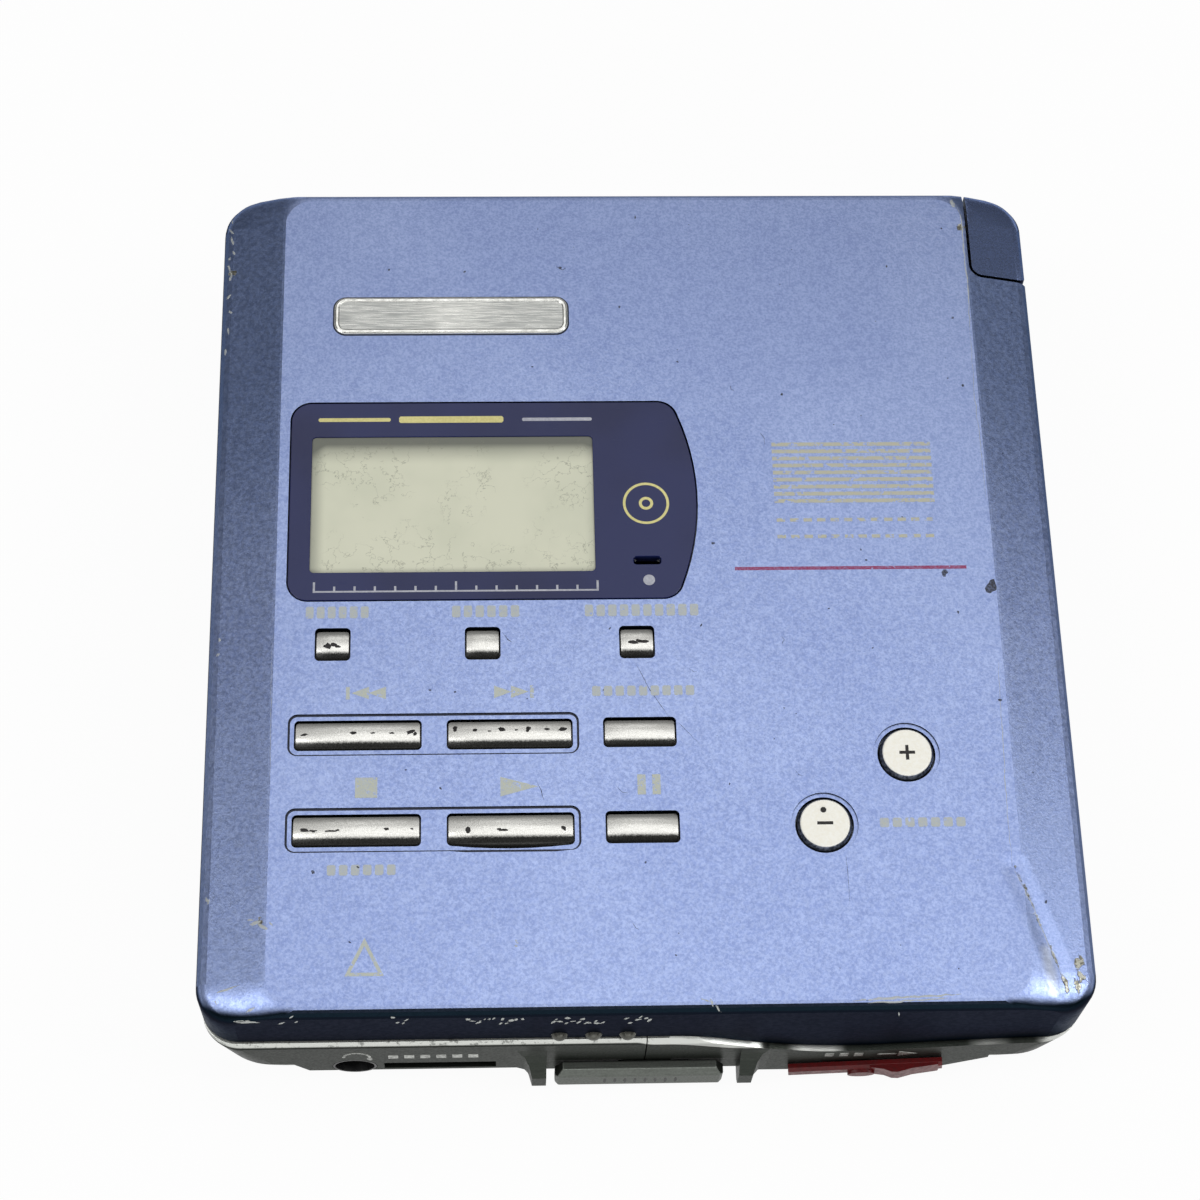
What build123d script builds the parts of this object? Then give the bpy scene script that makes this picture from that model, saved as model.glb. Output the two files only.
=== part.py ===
"""Portable minidisc recorder: a hinged lid over a disc mechanism.

Millimetres. +X is the right-hand side, +Y the hinge side, -Y the front with the
open knob, +Z up. The origin is the centre of the footprint, on the base plane.
"""
from build123d import *
import math
import os

# ---- driving dimensions: outside -------------------------------------------------------
WIDTH = 80.0            # over the lid's side walls
HALF_W = WIDTH / 2
BACK_Y = 43.3           # back face of lid and case
LID_FRONT_Y = -41.4     # front face of the lid
PANEL_Y = -41.9         # face of the front panels
EAR_Y = -43.3           # foremost face of the ears beside the open knob
TOP_Z = 18.9            # flat top of the lid
BEVEL_Z = 17.25         # foot of the lid's side bevels
FOLD_X = 33.9           # where the flat top folds down into a side bevel
SKIN = 0.8              # lid wall thickness
BACK_SKIN = 0.6         # the lid's back wall, thinner behind the hinge
WALL = 1.0              # case wall thickness
FLOOR_Z = 0.9           # inside of the case floor
LID_CORNER_R = 3.5
FLAT_CORNER_R = 2.7     # corner radius of the lid's flat top
BEVEL_R = 1.4           # rounding between a side bevel and the wall below it
EDGE_R = 0.9            # rounding along the lid's front and back edges
CASE_TOP_R = 3.1        # corner radius of the case at its rim
CASE_FOOT_R = 7.0       # and lower down, where the corners are swept in
TRIM_Z, RIM_Z = 10.5, 11.5              # the bevel along the top of the front panels
FOOT_TUCK, FOOT_Z, BOW_Z = 2.2, 3.4, 5.5        # rounded foot: inward, up, and up at the front

DEEP_LEFT_Z, DEEP_RIGHT_Z = 3.3, 1.4    # lower edges of the panels' deeper stretches

SEAM_GAP = 0.2
SEAM_LEFT_Z = 11.4      # lid edge on the left half of the front
SEAM_DIP_Z = 7.6        # lowest point of the lid edge, right of centre
SEAM_RIGHT_Z = 10.0     # lid edge at the right-hand corner
SEAM_BACK_Z = 15.9      # lid edge along the back, above the hinge sweep
CASE_BACK_Z = 14.9
FRONT_SPLIT_Y = -37.0   # where the front panels end and the case begins

# ---- lid furniture ---------------------------------------------------------------------
BUTTONS = {             # centre x, centre y, opening width, opening depth
    "mode_button": (-28.36, -6.0, 3.3, 3.3),
    "display_button": (-14.52, -6.0, 3.3, 3.3),
    "search_button": (-0.23, -6.0, 3.3, 3.3),
    "rewind_button": (-25.92, -15.0, 11.6, 2.95),
    "forward_button": (-12.1, -15.0, 11.5, 2.95),
    "enter_button": (-0.23, -15.0, 6.7, 2.95),
    "stop_button": (-25.95, -24.2, 11.6, 3.1),
    "play_button": (-12.1, -24.2, 11.5, 3.1),
    "pause_button": (-0.23, -24.2, 6.7, 3.1),
}
VOLUME_BUTTONS = {"volume_up_button": (24.1, -17.4), "volume_down_button": (16.2, -24.15)}
VOLUME_RING_R, VOLUME_R, VOLUME_FACE_R = 3.05, 2.5, 2.2
VOLUME_PROUD = 0.35
BUTTON_GAP = 0.17
BOW = 0.3               # how far the play button's lower edge bows out
TRAY_DEPTH, TRAY_MARGIN = 0.2, 0.57     # shallow trays round the long buttons
FLANGE_Z = (17.45, 17.95)
BOARD_Z = (16.35, 16.85)
DOME_H = 0.2

BEZEL_X, BEZEL_BULGE_X, BEZEL_Y = (-32.65, 3.6), 5.85, (-1.5, 19.35)
BEZEL_R = 1.9
LCD_X, LCD_Y = (-30.65, -3.9), (1.35, 15.7)
LAMP_X, LAMP_Y = (-0.3, 2.3), (1.98, 2.84)
PLATE_X, PLATE_Y = (-28.8, -6.0), (27.0, 31.1)
STUD_XS, STUD_Z, STUD_R = (-7.9, -4.85, -1.8), 12.15, 0.8

# ---- hinges ----------------------------------------------------------------------------
HINGE_Y, HINGE_Z = 41.75, 16.95         # lid hinge axis, along X
HINGE_XS = (-29.0, 22.0)                # left end of each hinge
KNUCKLE, KNUCKLE_R, PIN_R = 3.0, 0.85, 0.45
HOLDER_Y, HOLDER_Z = 32.9, 12.9         # disc holder axis, along X
HOLDER_PIN_R = 0.5
ARM_PIN_R = 0.35
RUN = 0.05                              # radial clearance of a running pin
DOOR_X, DOOR_Y, DOOR_Z = 34.3, 33.8, 2.4        # inner edges and foot of the battery door
DOOR_PIN_X, DOOR_PIN_Y, DOOR_PIN_R = 39.0, 34.8, 0.5
DOOR_EAR_Z = (8.2, 9.2)

# ---- disc mechanism --------------------------------------------------------------------
DISC_W, DISC_D, DISC_T = 72.0, 68.0, 5.0        # the cartridge that the holder takes
DISC_Y = -2.9                           # spindle and disc centre, on x = 0
SHEET = 0.4
HOLDER_BOTTOM_Z, HOLDER_TOP_Z = 9.5, 15.5
LENS_X = 14.5                           # lens at the innermost track
ROD_YS, ROD_Z, ROD_R = (-15.9, 10.1), 6.4, 0.75
ROD_X = (9.9, 38.0)
SCREW_Y, SCREW_Z, SCREW_R = 18.5, 6.2, 0.9
CHASSIS_Z = (4.2, 4.7)
SCREW_SPOTS = ((-33.0, -33.5), (33.0, -33.5), (-35.0, 6.5), (35.5, 19.0))
DAMPER_SPOTS = ((-11.5, -29.0), (33.5, -29.0), (-11.5, 28.5), (31.5, 28.5))

# ---- controls and sockets --------------------------------------------------------------
KNOB_X, KNOB_Z = (-8.2, 7.3), (1.5, 5.4)
RECESS_Z = 2.0          # lower edge of the panels behind the open knob
STEM_Z = (3.0, 4.4)
KNOB_TRAVEL = 1.2
REC_X, REC_Z, REC_SLOPE = (13.4, 27.6), (2.5, 4.4), 6.5
REC_TRAVEL, REC_SLOT_Z = 2.0, (2.6, 3.8)
HOLD_Y, HOLD_Z, HOLD_TRAVEL = -16.0, 4.6, 1.8
LATCH_Y, LATCH_Z = (-39.0, -38.4), (6.5, 9.0)   # the strip behind the front panels
CATCH_XS = (-21.0, 18.0)
JACK_R, JACK_Z = 1.8, 4.6               # bore for a 3.5 mm plug
PHONE_X = -26.5
REMOTE_X, REMOTE_Z = (-23.8, -13.6), (3.8, 5.5)
SIDE_JACK_YS = (2.0, 12.5)
SOCKET_Y, SOCKET_X = -39.2, -38.5       # outer ends of the socket bodies, front and left
SOCKET_Z = (2.0, 6.8)
POWER_Y, POWER_R = 23.0, 1.75

CELL_X, CELL_Y, CELL_Z = (-33.0, 34.0), (34.7, 40.8), (0.95, 17.75)


# ---- helpers ---------------------------------------------------------------------------
def block(x0, x1, y0, y1, z0, z1):
    """A box from its low and high corners."""
    return Pos((x0 + x1) / 2, (y0 + y1) / 2, (z0 + z1) / 2) * Box(x1 - x0, y1 - y0, z1 - z0)


def rod_x(x0, x1, y, z, r):
    """A cylinder along X."""
    return Pos((x0 + x1) / 2, y, z) * Rot(0, 90, 0) * Cylinder(r, x1 - x0)


def rod_y(y0, y1, x, z, r):
    """A cylinder along Y."""
    return Pos(x, (y0 + y1) / 2, z) * Rot(90, 0, 0) * Cylinder(r, y1 - y0)


def rod_z(z0, z1, x, y, r):
    """A cylinder along Z."""
    return Pos(x, y, (z0 + z1) / 2) * Cylinder(r, z1 - z0)


def slab(x0, x1, y0, y1, z0, z1, r):
    """A box with its four vertical edges rounded."""
    outline = Pos((x0 + x1) / 2, (y0 + y1) / 2, z0) * RectangleRounded(x1 - x0, y1 - y0, r)
    return extrude(outline, z1 - z0)


def prism_x(points, x0, x1):
    """A polygon of (y, z) points pushed along X."""
    face = make_face(Polyline([(x0, y, z) for y, z in points], close=True))
    return extrude(face, x1 - x0, dir=(1, 0, 0))


def prism_y(points, y0, y1):
    """A polygon of (x, z) points pushed along Y."""
    face = make_face(Polyline([(x, y0, z) for x, z in points], close=True))
    return extrude(face, y1 - y0, dir=(0, 1, 0))


def prism_z(points, z0, z1):
    """A polygon of (x, y) points pushed along Z."""
    face = make_face(Polyline([(x, y, z0) for x, y in points], close=True))
    return extrude(face, z1 - z0, dir=(0, 0, 1))


def group(solids):
    """Several separate solids as one part."""
    return Compound(children=list(solids))


# ---- lid -------------------------------------------------------------------------------
def lid_sections(inset):
    """Height, side inset, front and back inset and corner radius, from the foot up."""
    slope = math.atan2(TOP_Z - BEVEL_Z, HALF_W - FOLD_X)
    turn = math.pi / 2 - slope
    start = BEVEL_Z - BEVEL_R * math.tan(turn / 2)
    sections = [(0.0, 0.0, 0.0, LID_CORNER_R)]
    for part in (0, 0.33, 0.67, 1):
        angle = turn * part
        side = BEVEL_R * (1 - math.cos(angle))
        sections.append((start + BEVEL_R * math.sin(angle), side, 0.0, LID_CORNER_R))
    for part in (0, 0.3, 0.6, 0.8, 1):
        angle = math.pi / 2 * part
        z = TOP_Z - EDGE_R + EDGE_R * math.sin(angle)
        side = HALF_W - FOLD_X - (TOP_Z - z) / math.tan(slope) + 0.15 * part ** 3
        corner = LID_CORNER_R + (FLAT_CORNER_R - LID_CORNER_R) * (0.4 + 0.6 * part)
        rim = 0.0 if inset else EDGE_R * (1 - math.cos(angle))
        sections.append((z, side, rim, corner))
    return sections


def lid_form(inset):
    """The lid's outer form, or with an inset its inner form."""
    back = BACK_Y - (BACK_SKIN if inset else 0)
    faces = []
    for z, side, rim, corner in lid_sections(inset):
        y0, y1, half = LID_FRONT_Y + inset + rim, back - rim, HALF_W - inset - side
        outline = RectangleRounded(2 * half, y1 - y0, corner - inset)
        faces.append(Pos(0, (y0 + y1) / 2, z - (inset if z else 0)) * outline)
    return loft(faces, ruled=True)


def below_seam(offset):
    """Everything under the lid's lower edge, moved up by offset."""
    wave = [(2.0, SEAM_LEFT_Z), (9.5, 9.3), (17.0, SEAM_DIP_Z), (28.5, 8.7),
            (HALF_W + 2, SEAM_RIGHT_Z)]
    wave = [(x, z + offset) for x, z in wave]
    low_left, low_right = (-HALF_W - 2, -5), (HALF_W + 2, -5)
    high_left = (-HALF_W - 2, wave[0][1])
    edge = Spline(*wave, tangents=[(1, 0), (1, 0.1)])
    base = Polyline(wave[-1], low_right, low_left, high_left)
    face = make_face([Line(high_left, wave[0]), edge, base])
    return extrude(Plane.XZ.offset(-60) * face, 120)


def bezel_outline(grow):
    """The display plate's outline: three straight sides and a bulging right one."""
    x0, x1, bulge = BEZEL_X[0] - grow, BEZEL_X[1] + grow, BEZEL_BULGE_X + grow
    y0, y1 = BEZEL_Y[0] - grow, BEZEL_Y[1] + grow
    sides = Polyline((x1, y1), (x0, y1), (x0, y0), (x1, y0))
    right = ThreePointArc((x1, y0), (bulge, (y0 + y1) / 2), (x1, y1))
    outline = make_face([sides, right])
    return fillet(outline.vertices(), BEZEL_R + grow)


def button_outline(name, grow):
    """The outline of a key's opening in the lid, or of the key with a negative grow."""
    x, y, w, d = BUTTONS[name]
    outline = Pos(x, y) * RectangleRounded(w + 2 * grow, d + 2 * grow, 0.45 + max(grow, -0.3))
    if name != "play_button":
        return outline
    low, half = y - d / 2 - grow, w / 2 - 0.4
    bow = ThreePointArc((x - half, low), (x, low - BOW), (x + half, low))
    return outline + make_face([bow, Line((x + half, low), (x - half, low))])


def tray_outline(left, right):
    """The outline of the shallow tray round a pair of long keys."""
    x0 = BUTTONS[left][0] - BUTTONS[left][2] / 2 - TRAY_MARGIN
    x1 = BUTTONS[right][0] + BUTTONS[right][2] / 2 + TRAY_MARGIN
    _, y, _, d = BUTTONS[left]
    outline = Pos((x0 + x1) / 2, y) * RectangleRounded(x1 - x0, d + 2 * TRAY_MARGIN, 0.9)
    return outline + button_outline(right, TRAY_MARGIN)


def lid_shell():
    shell = lid_form(0) - lid_form(SKIN) - below_seam(0)
    # the back wall is short, to swing past the case, and the battery door's corner is left out
    shell -= block(-35.8, HALF_W + 1, 39.5, BACK_Y + 1, 0, SEAM_BACK_Z)
    shell -= block(-HALF_W - 1, -35.8, HINGE_Y - 0.3, BACK_Y + 1, 0, SEAM_LEFT_Z + 0.5)
    shell -= slab(DOOR_X - 0.3, 60, DOOR_Y - 0.3, 60, 0, 30, 1.3)
    shell -= extrude(bezel_outline(0.14), 30)
    shell -= Pos(0, 0, TOP_Z - SKIN - 0.5) * extrude(bezel_outline(0.75), 0.5)
    for name in BUTTONS:
        shell -= extrude(button_outline(name, 0), 30)
    for pair in (("rewind_button", "forward_button"), ("stop_button", "play_button")):
        shell -= Pos(0, 0, TOP_Z - TRAY_DEPTH) * extrude(tray_outline(*pair), 10)
    for x, y in VOLUME_BUTTONS.values():
        shell -= rod_z(0, 30, x, y, VOLUME_R + BUTTON_GAP)
        shell -= rod_z(TOP_Z - TRAY_DEPTH, 30, x, y, VOLUME_RING_R)
    return shell


def lid_catches():
    """Two notched tabs on the inside of the lid's front wall, for the latch."""
    inside = LID_FRONT_Y + SKIN
    tabs = []
    for x in CATCH_XS:
        tab = block(x, x + 3, LATCH_Y[0] - 0.7, LATCH_Y[0] - 0.1, 7.0, 13.0)
        tab += block(x, x + 3, inside, LATCH_Y[0] - 0.7, 11.4, 13.0)
        tabs.append(tab - block(x + 2.2, x + 4, -50, -30, 8.0, 8.8))
    return group(tabs)


def front_studs():
    """Three small domes low on the lid's front wall."""
    domes = []
    for x in STUD_XS:
        ball = Pos(x, LID_FRONT_Y + 0.25, STUD_Z) * Sphere(STUD_R)
        domes.append(ball & block(x - 2, x + 2, LID_FRONT_Y - 2, LID_FRONT_Y, 9, 15))
    return group(domes)


def name_plate():
    """A blank plate with rounded corners, standing a little above the lid."""
    return slab(*PLATE_X, *PLATE_Y, TOP_Z, TOP_Z + 0.15, 1.2)


def display_bezel():
    """The display plate: flush with the lid, on a flange under the skin."""
    flange = Pos(0, 0, TOP_Z - SKIN - 0.4) * extrude(bezel_outline(0.6), 0.4)
    plate = Pos(0, 0, TOP_Z - SKIN) * extrude(bezel_outline(0), SKIN)
    window = slab(*LCD_X, *LCD_Y, 0, 30, 0.4)
    lamp = slab(*LAMP_X, *LAMP_Y, 0, 30, 0.3)
    return flange + plate - window - lamp


def lcd_window():
    return slab(*LCD_X, *LCD_Y, TOP_Z - SKIN - 0.4, TOP_Z - 0.15, 0.4)


def lcd_panel():
    return block(LCD_X[0] - 1, LCD_X[1] + 1, LCD_Y[0] - 1, LCD_Y[1] + 1, BOARD_Z[0], TOP_Z - SKIN - 0.5)


def key_board():
    """The circuit board under the keys, L-shaped round the display."""
    return block(-35, 33, -38.5, -2.6, *BOARD_Z) + block(8, 33, -2.6, 26, *BOARD_Z)


def key_domes():
    """One snap dome on the board under each button."""
    spots = [BUTTONS[name][:2] for name in BUTTONS] + list(VOLUME_BUTTONS.values())
    return group(rod_z(BOARD_Z[1], BOARD_Z[1] + DOME_H, x, y, 1.2) for x, y in spots)


def push_button(name):
    """A metal key crowned along X, held under the skin by its flange."""
    x, y, w, d = BUTTONS[name]
    cap = Pos(0, 0, FLANGE_Z[1]) * extrude(button_outline(name, -BUTTON_GAP), TOP_Z - FLANGE_Z[1])
    peak, crown_r = TOP_Z - 0.05, 0.8 * d
    crown = rod_x(x - w, x + w, y, peak - crown_r, crown_r)
    flange = Pos(0, 0, FLANGE_Z[0]) * extrude(button_outline(name, 0.45), FLANGE_Z[1] - FLANGE_Z[0])
    return (cap & crown) + flange


def volume_button(name):
    """A round key: a short cone with a flat face, standing a little proud."""
    x, y = VOLUME_BUTTONS[name]
    z0, z1 = TOP_Z - 0.15, TOP_Z + VOLUME_PROUD
    cone = Pos(x, y, (z0 + z1) / 2) * Cone(VOLUME_R, VOLUME_FACE_R, z1 - z0)
    return rod_z(FLANGE_Z[0], z0, x, y, VOLUME_R) + cone + rod_z(*FLANGE_Z, x, y, VOLUME_R + 0.6)


def lid_knuckles():
    """The lid's half of each hinge, hung under the skin."""
    halves = []
    for x in HINGE_XS:
        x0, x1 = x + KNUCKLE + 0.1, x + 2 * KNUCKLE + 0.1
        web = block(x0, x1, HINGE_Y - 0.8, HINGE_Y + 0.8, HINGE_Z, TOP_Z - SKIN)
        knuckle = rod_x(x0, x1, HINGE_Y, HINGE_Z, KNUCKLE_R) + web
        halves.append(knuckle - rod_x(x0 - 1, x1 + 1, HINGE_Y, HINGE_Z, PIN_R + RUN))
    return group(halves)


# ---- lower case ------------------------------------------------------------------------
def case_form(inset, z0):
    """The case's form above z0: a rounded foot, tucked in further at the front."""
    faces = []
    for z in [z0] + [level for level in (0.4, 1.0, 2.0, FOOT_Z, BOW_Z, TRIM_Z, RIM_Z) if level > z0]:
        tuck = FOOT_TUCK * max(0.0, 1 - z / FOOT_Z) ** 2
        bow = FOOT_TUCK * max(0.0, 1 - z / BOW_Z) ** 1.5
        rise = max(0.0, (z - FOOT_Z) / (RIM_Z - FOOT_Z))
        trim = (LID_FRONT_Y - PANEL_Y) * max(0.0, (z - TRIM_Z) / (RIM_Z - TRIM_Z))
        corner = CASE_FOOT_R + (CASE_TOP_R - CASE_FOOT_R) * rise
        half, y0, y1 = HALF_W - 0.1 - tuck - inset, PANEL_Y + bow + trim + inset, BACK_Y - tuck - inset
        outline = RectangleRounded(2 * half, y1 - y0, corner - inset)
        faces.append(Pos(0, (y0 + y1) / 2, z) * outline)
    return loft(faces, ruled=True)


def case_walls():
    """Floor and walls of the case in one, before the front is parted off."""
    walls = (case_form(0, 0) - case_form(WALL, FLOOR_Z)) & below_seam(-SEAM_GAP)
    walls += block(-35.4, DOOR_X - 0.4, BACK_Y - WALL, BACK_Y, 6.0, CASE_BACK_Z)
    walls -= block(-HALF_W - 1, -35.4, 36, BACK_Y + 1, SEAM_LEFT_Z - 0.5, 20)
    return walls


def front_zone(x0, x1, gap):
    """The space that a front panel fills, from x0 to x1."""
    return block(x0, x1, -50, FRONT_SPLIT_Y + gap, 1.4 - gap, 20)


def ear(plan, profile, front):
    """A raised ear on a front panel, cut from its plan, side and front outlines."""
    body = prism_z(plan, 1, 10) & prism_x(profile, -50, 50) & prism_y(front, -50, -30)
    return body & below_seam(-SEAM_GAP)


def front_panel(left):
    """One front panel: its share of the wall, deeper stretches and an ear beside the open knob."""
    inner = PANEL_Y + 1.8
    flare = [(inner, 9.0), (PANEL_Y, 8.8), (PANEL_Y - 0.12, 7.6), (PANEL_Y - 0.45, 6.4), (PANEL_Y - 0.95, 5.4),
             (EAR_Y, 4.5), (EAR_Y, 2.0), (EAR_Y + 0.5, 1.45), (inner, 1.45)]
    # half of the ear in plan and in front view, as distances from the side that faces the knob
    plan = [(3.1, inner), (2.7, PANEL_Y), (2.0, PANEL_Y - 0.18), (1.6, PANEL_Y - 0.6), (1.3, EAR_Y)]
    if left:
        edge, side, ear_z = KNOB_X[0] - 0.8, -1, DEEP_LEFT_Z
        deep = [(-32.0, 5.3), (-30.7, DEEP_LEFT_Z), (edge - 0.5, DEEP_LEFT_Z), (edge - 0.5, 7), (-32.0, 7)]
        panel = case_walls() & front_zone(-50, -0.05, 0)
        recess = block(edge - 0.6, -0.05, PANEL_Y + 0.2, inner, RECESS_Z, 7)
    else:
        edge, side, ear_z = KNOB_X[1] + 1.4, 1, DEEP_RIGHT_Z + 0.6
        deep = [(edge + 0.5, DEEP_RIGHT_Z), (27.2, DEEP_RIGHT_Z), (31.8, 4.6), (31.8, 7), (edge + 0.5, 7)]
        panel = case_walls() & front_zone(0.05, 50, 0)
        recess = block(0.05, edge + 0.6, PANEL_Y + 0.2, inner, RECESS_Z, 7)
    points = [(edge + side * x, y) for x, y in plan] + [(edge, EAR_Y), (edge, inner)]
    front = [(edge + side * x, z) for x, z in ((4, 9.5), (4, ear_z), (1.7, ear_z), (1.35, 2.2), (1.2, 1.3))]
    front += [(edge, 1.3), (edge, 9.5)]
    panel += prism_y(deep, PANEL_Y, inner) + recess + ear(points, flare, front)
    if left:
        panel -= rod_y(-50, -30, PHONE_X, JACK_Z, JACK_R + 0.25)
        panel -= block(*REMOTE_X, -50, -30, *REMOTE_Z)
    else:
        panel -= block(REC_X[0] + 3.0, REC_X[0] + 9.7, -50, -30, *REC_SLOT_Z)
    # slot for the open knob's stem, shared by both panels
    return panel - block(-2.4, 4.2, -50, -30, STEM_Z[0] - 0.2, STEM_Z[1] + 0.2)


def bottom_case():
    case = case_walls() - front_zone(-50, 50, 0.05)
    # the battery door's corner
    case -= block(DOOR_X - 0.2, 50, DOOR_Y - 0.2, 50, DOOR_Z - 0.2, 30)
    ear = block(38.2, HALF_W - 0.1, 30.5, DOOR_PIN_Y, *DOOR_EAR_Z)
    case += ear + rod_z(*DOOR_EAR_Z, DOOR_PIN_X, DOOR_PIN_Y, 0.8)
    case -= rod_z(1.2, 20, DOOR_PIN_X, DOOR_PIN_Y, DOOR_PIN_R)
    # posts for the mechanism's dampers
    for x, y in DAMPER_SPOTS:
        case += rod_z(FLOOR_Z - 0.3, CHASSIS_Z[0] - 0.9, x, y, 1.1)
    for x, y in SCREW_SPOTS:
        case += rod_z(FLOOR_Z - 0.3, 3.4, x, y, 1.1)
        case -= rod_z(-1, 0.5, x, y, 1.1) + rod_z(0, 5, x, y, 0.6)
    # openings for the side sockets and the hold switch
    for y in SIDE_JACK_YS:
        case -= rod_x(-50, -30, y, JACK_Z, JACK_R + 0.25)
    case -= rod_x(-50, -30, POWER_Y, JACK_Z, POWER_R + 0.25)
    case -= block(-50, -30, HOLD_Y - 1.2, HOLD_Y + 1.2 + HOLD_TRAVEL, HOLD_Z - 0.7, HOLD_Z + 0.7)
    return case


def case_screws():
    """Small cross-head screws that hold the case's floor, set in from below."""
    screws = []
    for x, y in SCREW_SPOTS:
        head = rod_z(0.1, 0.5, x, y, 1.1) - block(x - 0.7, x + 0.7, y - 0.12, y + 0.12, 0, 0.3)
        head -= block(x - 0.12, x + 0.12, y - 0.7, y + 0.7, 0, 0.3)
        screws.append(head + rod_z(0.5, 3.4, x, y, 0.6))
    return group(screws)


def battery_case():
    """The battery bay's front and end walls, with the disc holder's pivot ears."""
    y0, y1 = CELL_Y[0] - 0.65, CELL_Y[0] - 0.15
    bay = block(-34.2, 34.1, y0, y1, FLOOR_Z, 13.5)
    bay += block(-34.2, CELL_X[0] - 0.7, y0, 40.0, FLOOR_Z, 13.5)
    for side in (-1, 1):
        x0, x1 = sorted((side * 34.0, side * 37.8))
        ear_x0, ear_x1 = sorted((side * 37.0, side * 37.8))
        bay += block(x0, x1, y0, y1, 8.0, 14.0)
        bay += block(ear_x0, ear_x1, HOLDER_Y - 1.0, y1, 8.0, 14.0)
    return bay - rod_x(-40, 40, HOLDER_Y, HOLDER_Z, HOLDER_PIN_R + RUN)


def battery_cell():
    """A flat rechargeable cell on its edge, its positive button towards the door."""
    can = block(CELL_X[0], CELL_X[1] - 0.6, *CELL_Y, *CELL_Z)
    can = fillet(can.edges().filter_by(Axis.X), 1.2)
    return can + rod_x(CELL_X[1] - 0.6, CELL_X[1], sum(CELL_Y) / 2, 9.4, 1.6)


def battery_terminal():
    """The bay's end contact: a plate with a raised tongue."""
    x = CELL_X[0]
    return block(x - 0.65, x - 0.35, 35.4, 40.0, 4.0, 12.0) + block(x - 0.35, x, 36.8, 38.6, 6.0, 9.0)


def hinge_brackets():
    """The case's half of each hinge: a knuckle on an upright strip."""
    halves = []
    for x in HINGE_XS:
        x1 = x + KNUCKLE
        strip = block(x, x1, 40.85, 41.4, 2.6, HINGE_Z)
        foot = block(x, x1, 41.4, BACK_Y - WALL, 3.6, 7.0) & case_form(WALL, FLOOR_Z)
        knuckle = rod_x(x, x1, HINGE_Y, HINGE_Z, KNUCKLE_R)
        halves.append(strip + foot + knuckle - rod_x(x - 1, x1 + 1, HINGE_Y, HINGE_Z, PIN_R))
    return group(halves)


def hinge_pins():
    return group(rod_x(x, x + 2 * KNUCKLE + 0.1, HINGE_Y, HINGE_Z, PIN_R) for x in HINGE_XS)


def door_pin():
    return rod_z(1.2, 15.2, DOOR_PIN_X, DOOR_PIN_Y, DOOR_PIN_R)


def battery_door():
    """The corner cap over the battery bay, with its hinge knuckle at the front."""
    corner = slab(DOOR_X, 60, DOOR_Y, 60, DOOR_Z, 30, 1.0)
    door = (lid_form(0) - lid_form(SKIN)) & corner
    door += rod_z(DOOR_Z, 15.6, DOOR_PIN_X, DOOR_PIN_Y, 1.0)
    # the front edge is rounded about the pin, so that it can swing
    edge = block(DOOR_PIN_X, 41, DOOR_Y - 0.1, DOOR_PIN_Y, 0, 30)
    door -= edge - rod_z(0, 30, DOOR_PIN_X, DOOR_PIN_Y, 1.0)
    door -= rod_z(0, 15.3, DOOR_PIN_X, DOOR_PIN_Y, DOOR_PIN_R + RUN)
    ear_z0, ear_z1 = DOOR_EAR_Z
    return door - block(37.9, 41, DOOR_Y - 0.1, DOOR_PIN_Y + 1.2, ear_z0 - 0.2, ear_z1 + 0.2)


def door_contact():
    """The spring contact inside the door, against the cell's button."""
    back = BACK_Y - BACK_SKIN
    return block(34.4, 34.7, 35.4, back, 5.5, 13.0) + block(34.7, 35.7, back - 0.3, back, 5.5, 13.0)


# ---- controls --------------------------------------------------------------------------
def open_knob():
    """The sliding open knob: a bar with a slanted top, on a stem through the front."""
    y0, y1 = EAR_Y + 0.1, PANEL_Y - 0.1
    z0, z1 = KNOB_Z
    profile = [(y1, z0), (y0 + 0.25, z0), (y0, z0 + 0.35), (y0, z1 - 0.9), (y0 + 0.5, z1), (y1, z1)]
    bar = prism_x(profile, *KNOB_X)
    ends = [e for e in bar.edges() if abs(e.center().X - sum(KNOB_X) / 2) > 7.5]
    bar = chamfer([e for e in ends if e.center().Y < y0 + 0.3], 0.35)
    x0, x1 = KNOB_X
    bar &= prism_y([(x0, z0), (x0, z1 - 1.3), (x0 + 0.7, z1), (x1 - 0.7, z1), (x1, z1 - 1.3),
                    (x1, z0)], -50, -30)
    stem = block(-2.0, 2.6, y1, LATCH_Y[0], *STEM_Z)
    return bar + stem + block(-2.0, 2.6, LATCH_Y[0] - 0.6, LATCH_Y[0], STEM_Z[0], LATCH_Z[1])


def latch_slider():
    """The strip behind the front panels that the knob drives, with a nose at each catch."""
    strip = block(-24, 24, *LATCH_Y, *LATCH_Z)
    for x in CATCH_XS:
        strip += block(x + 3.2, x + 5.0, LATCH_Y[0] - 0.8, LATCH_Y[0], 8.1, 8.7)
    return strip


def latch_spring():
    """The flat spring that returns the latch, beside the strip's left end."""
    y = LATCH_Y[0]
    return block(-27.0, -24.2, y, y + 0.25, 7.6, 9.0) + block(-27.0, -26.75, y, y + 2.0, 7.6, 9.0)


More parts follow.
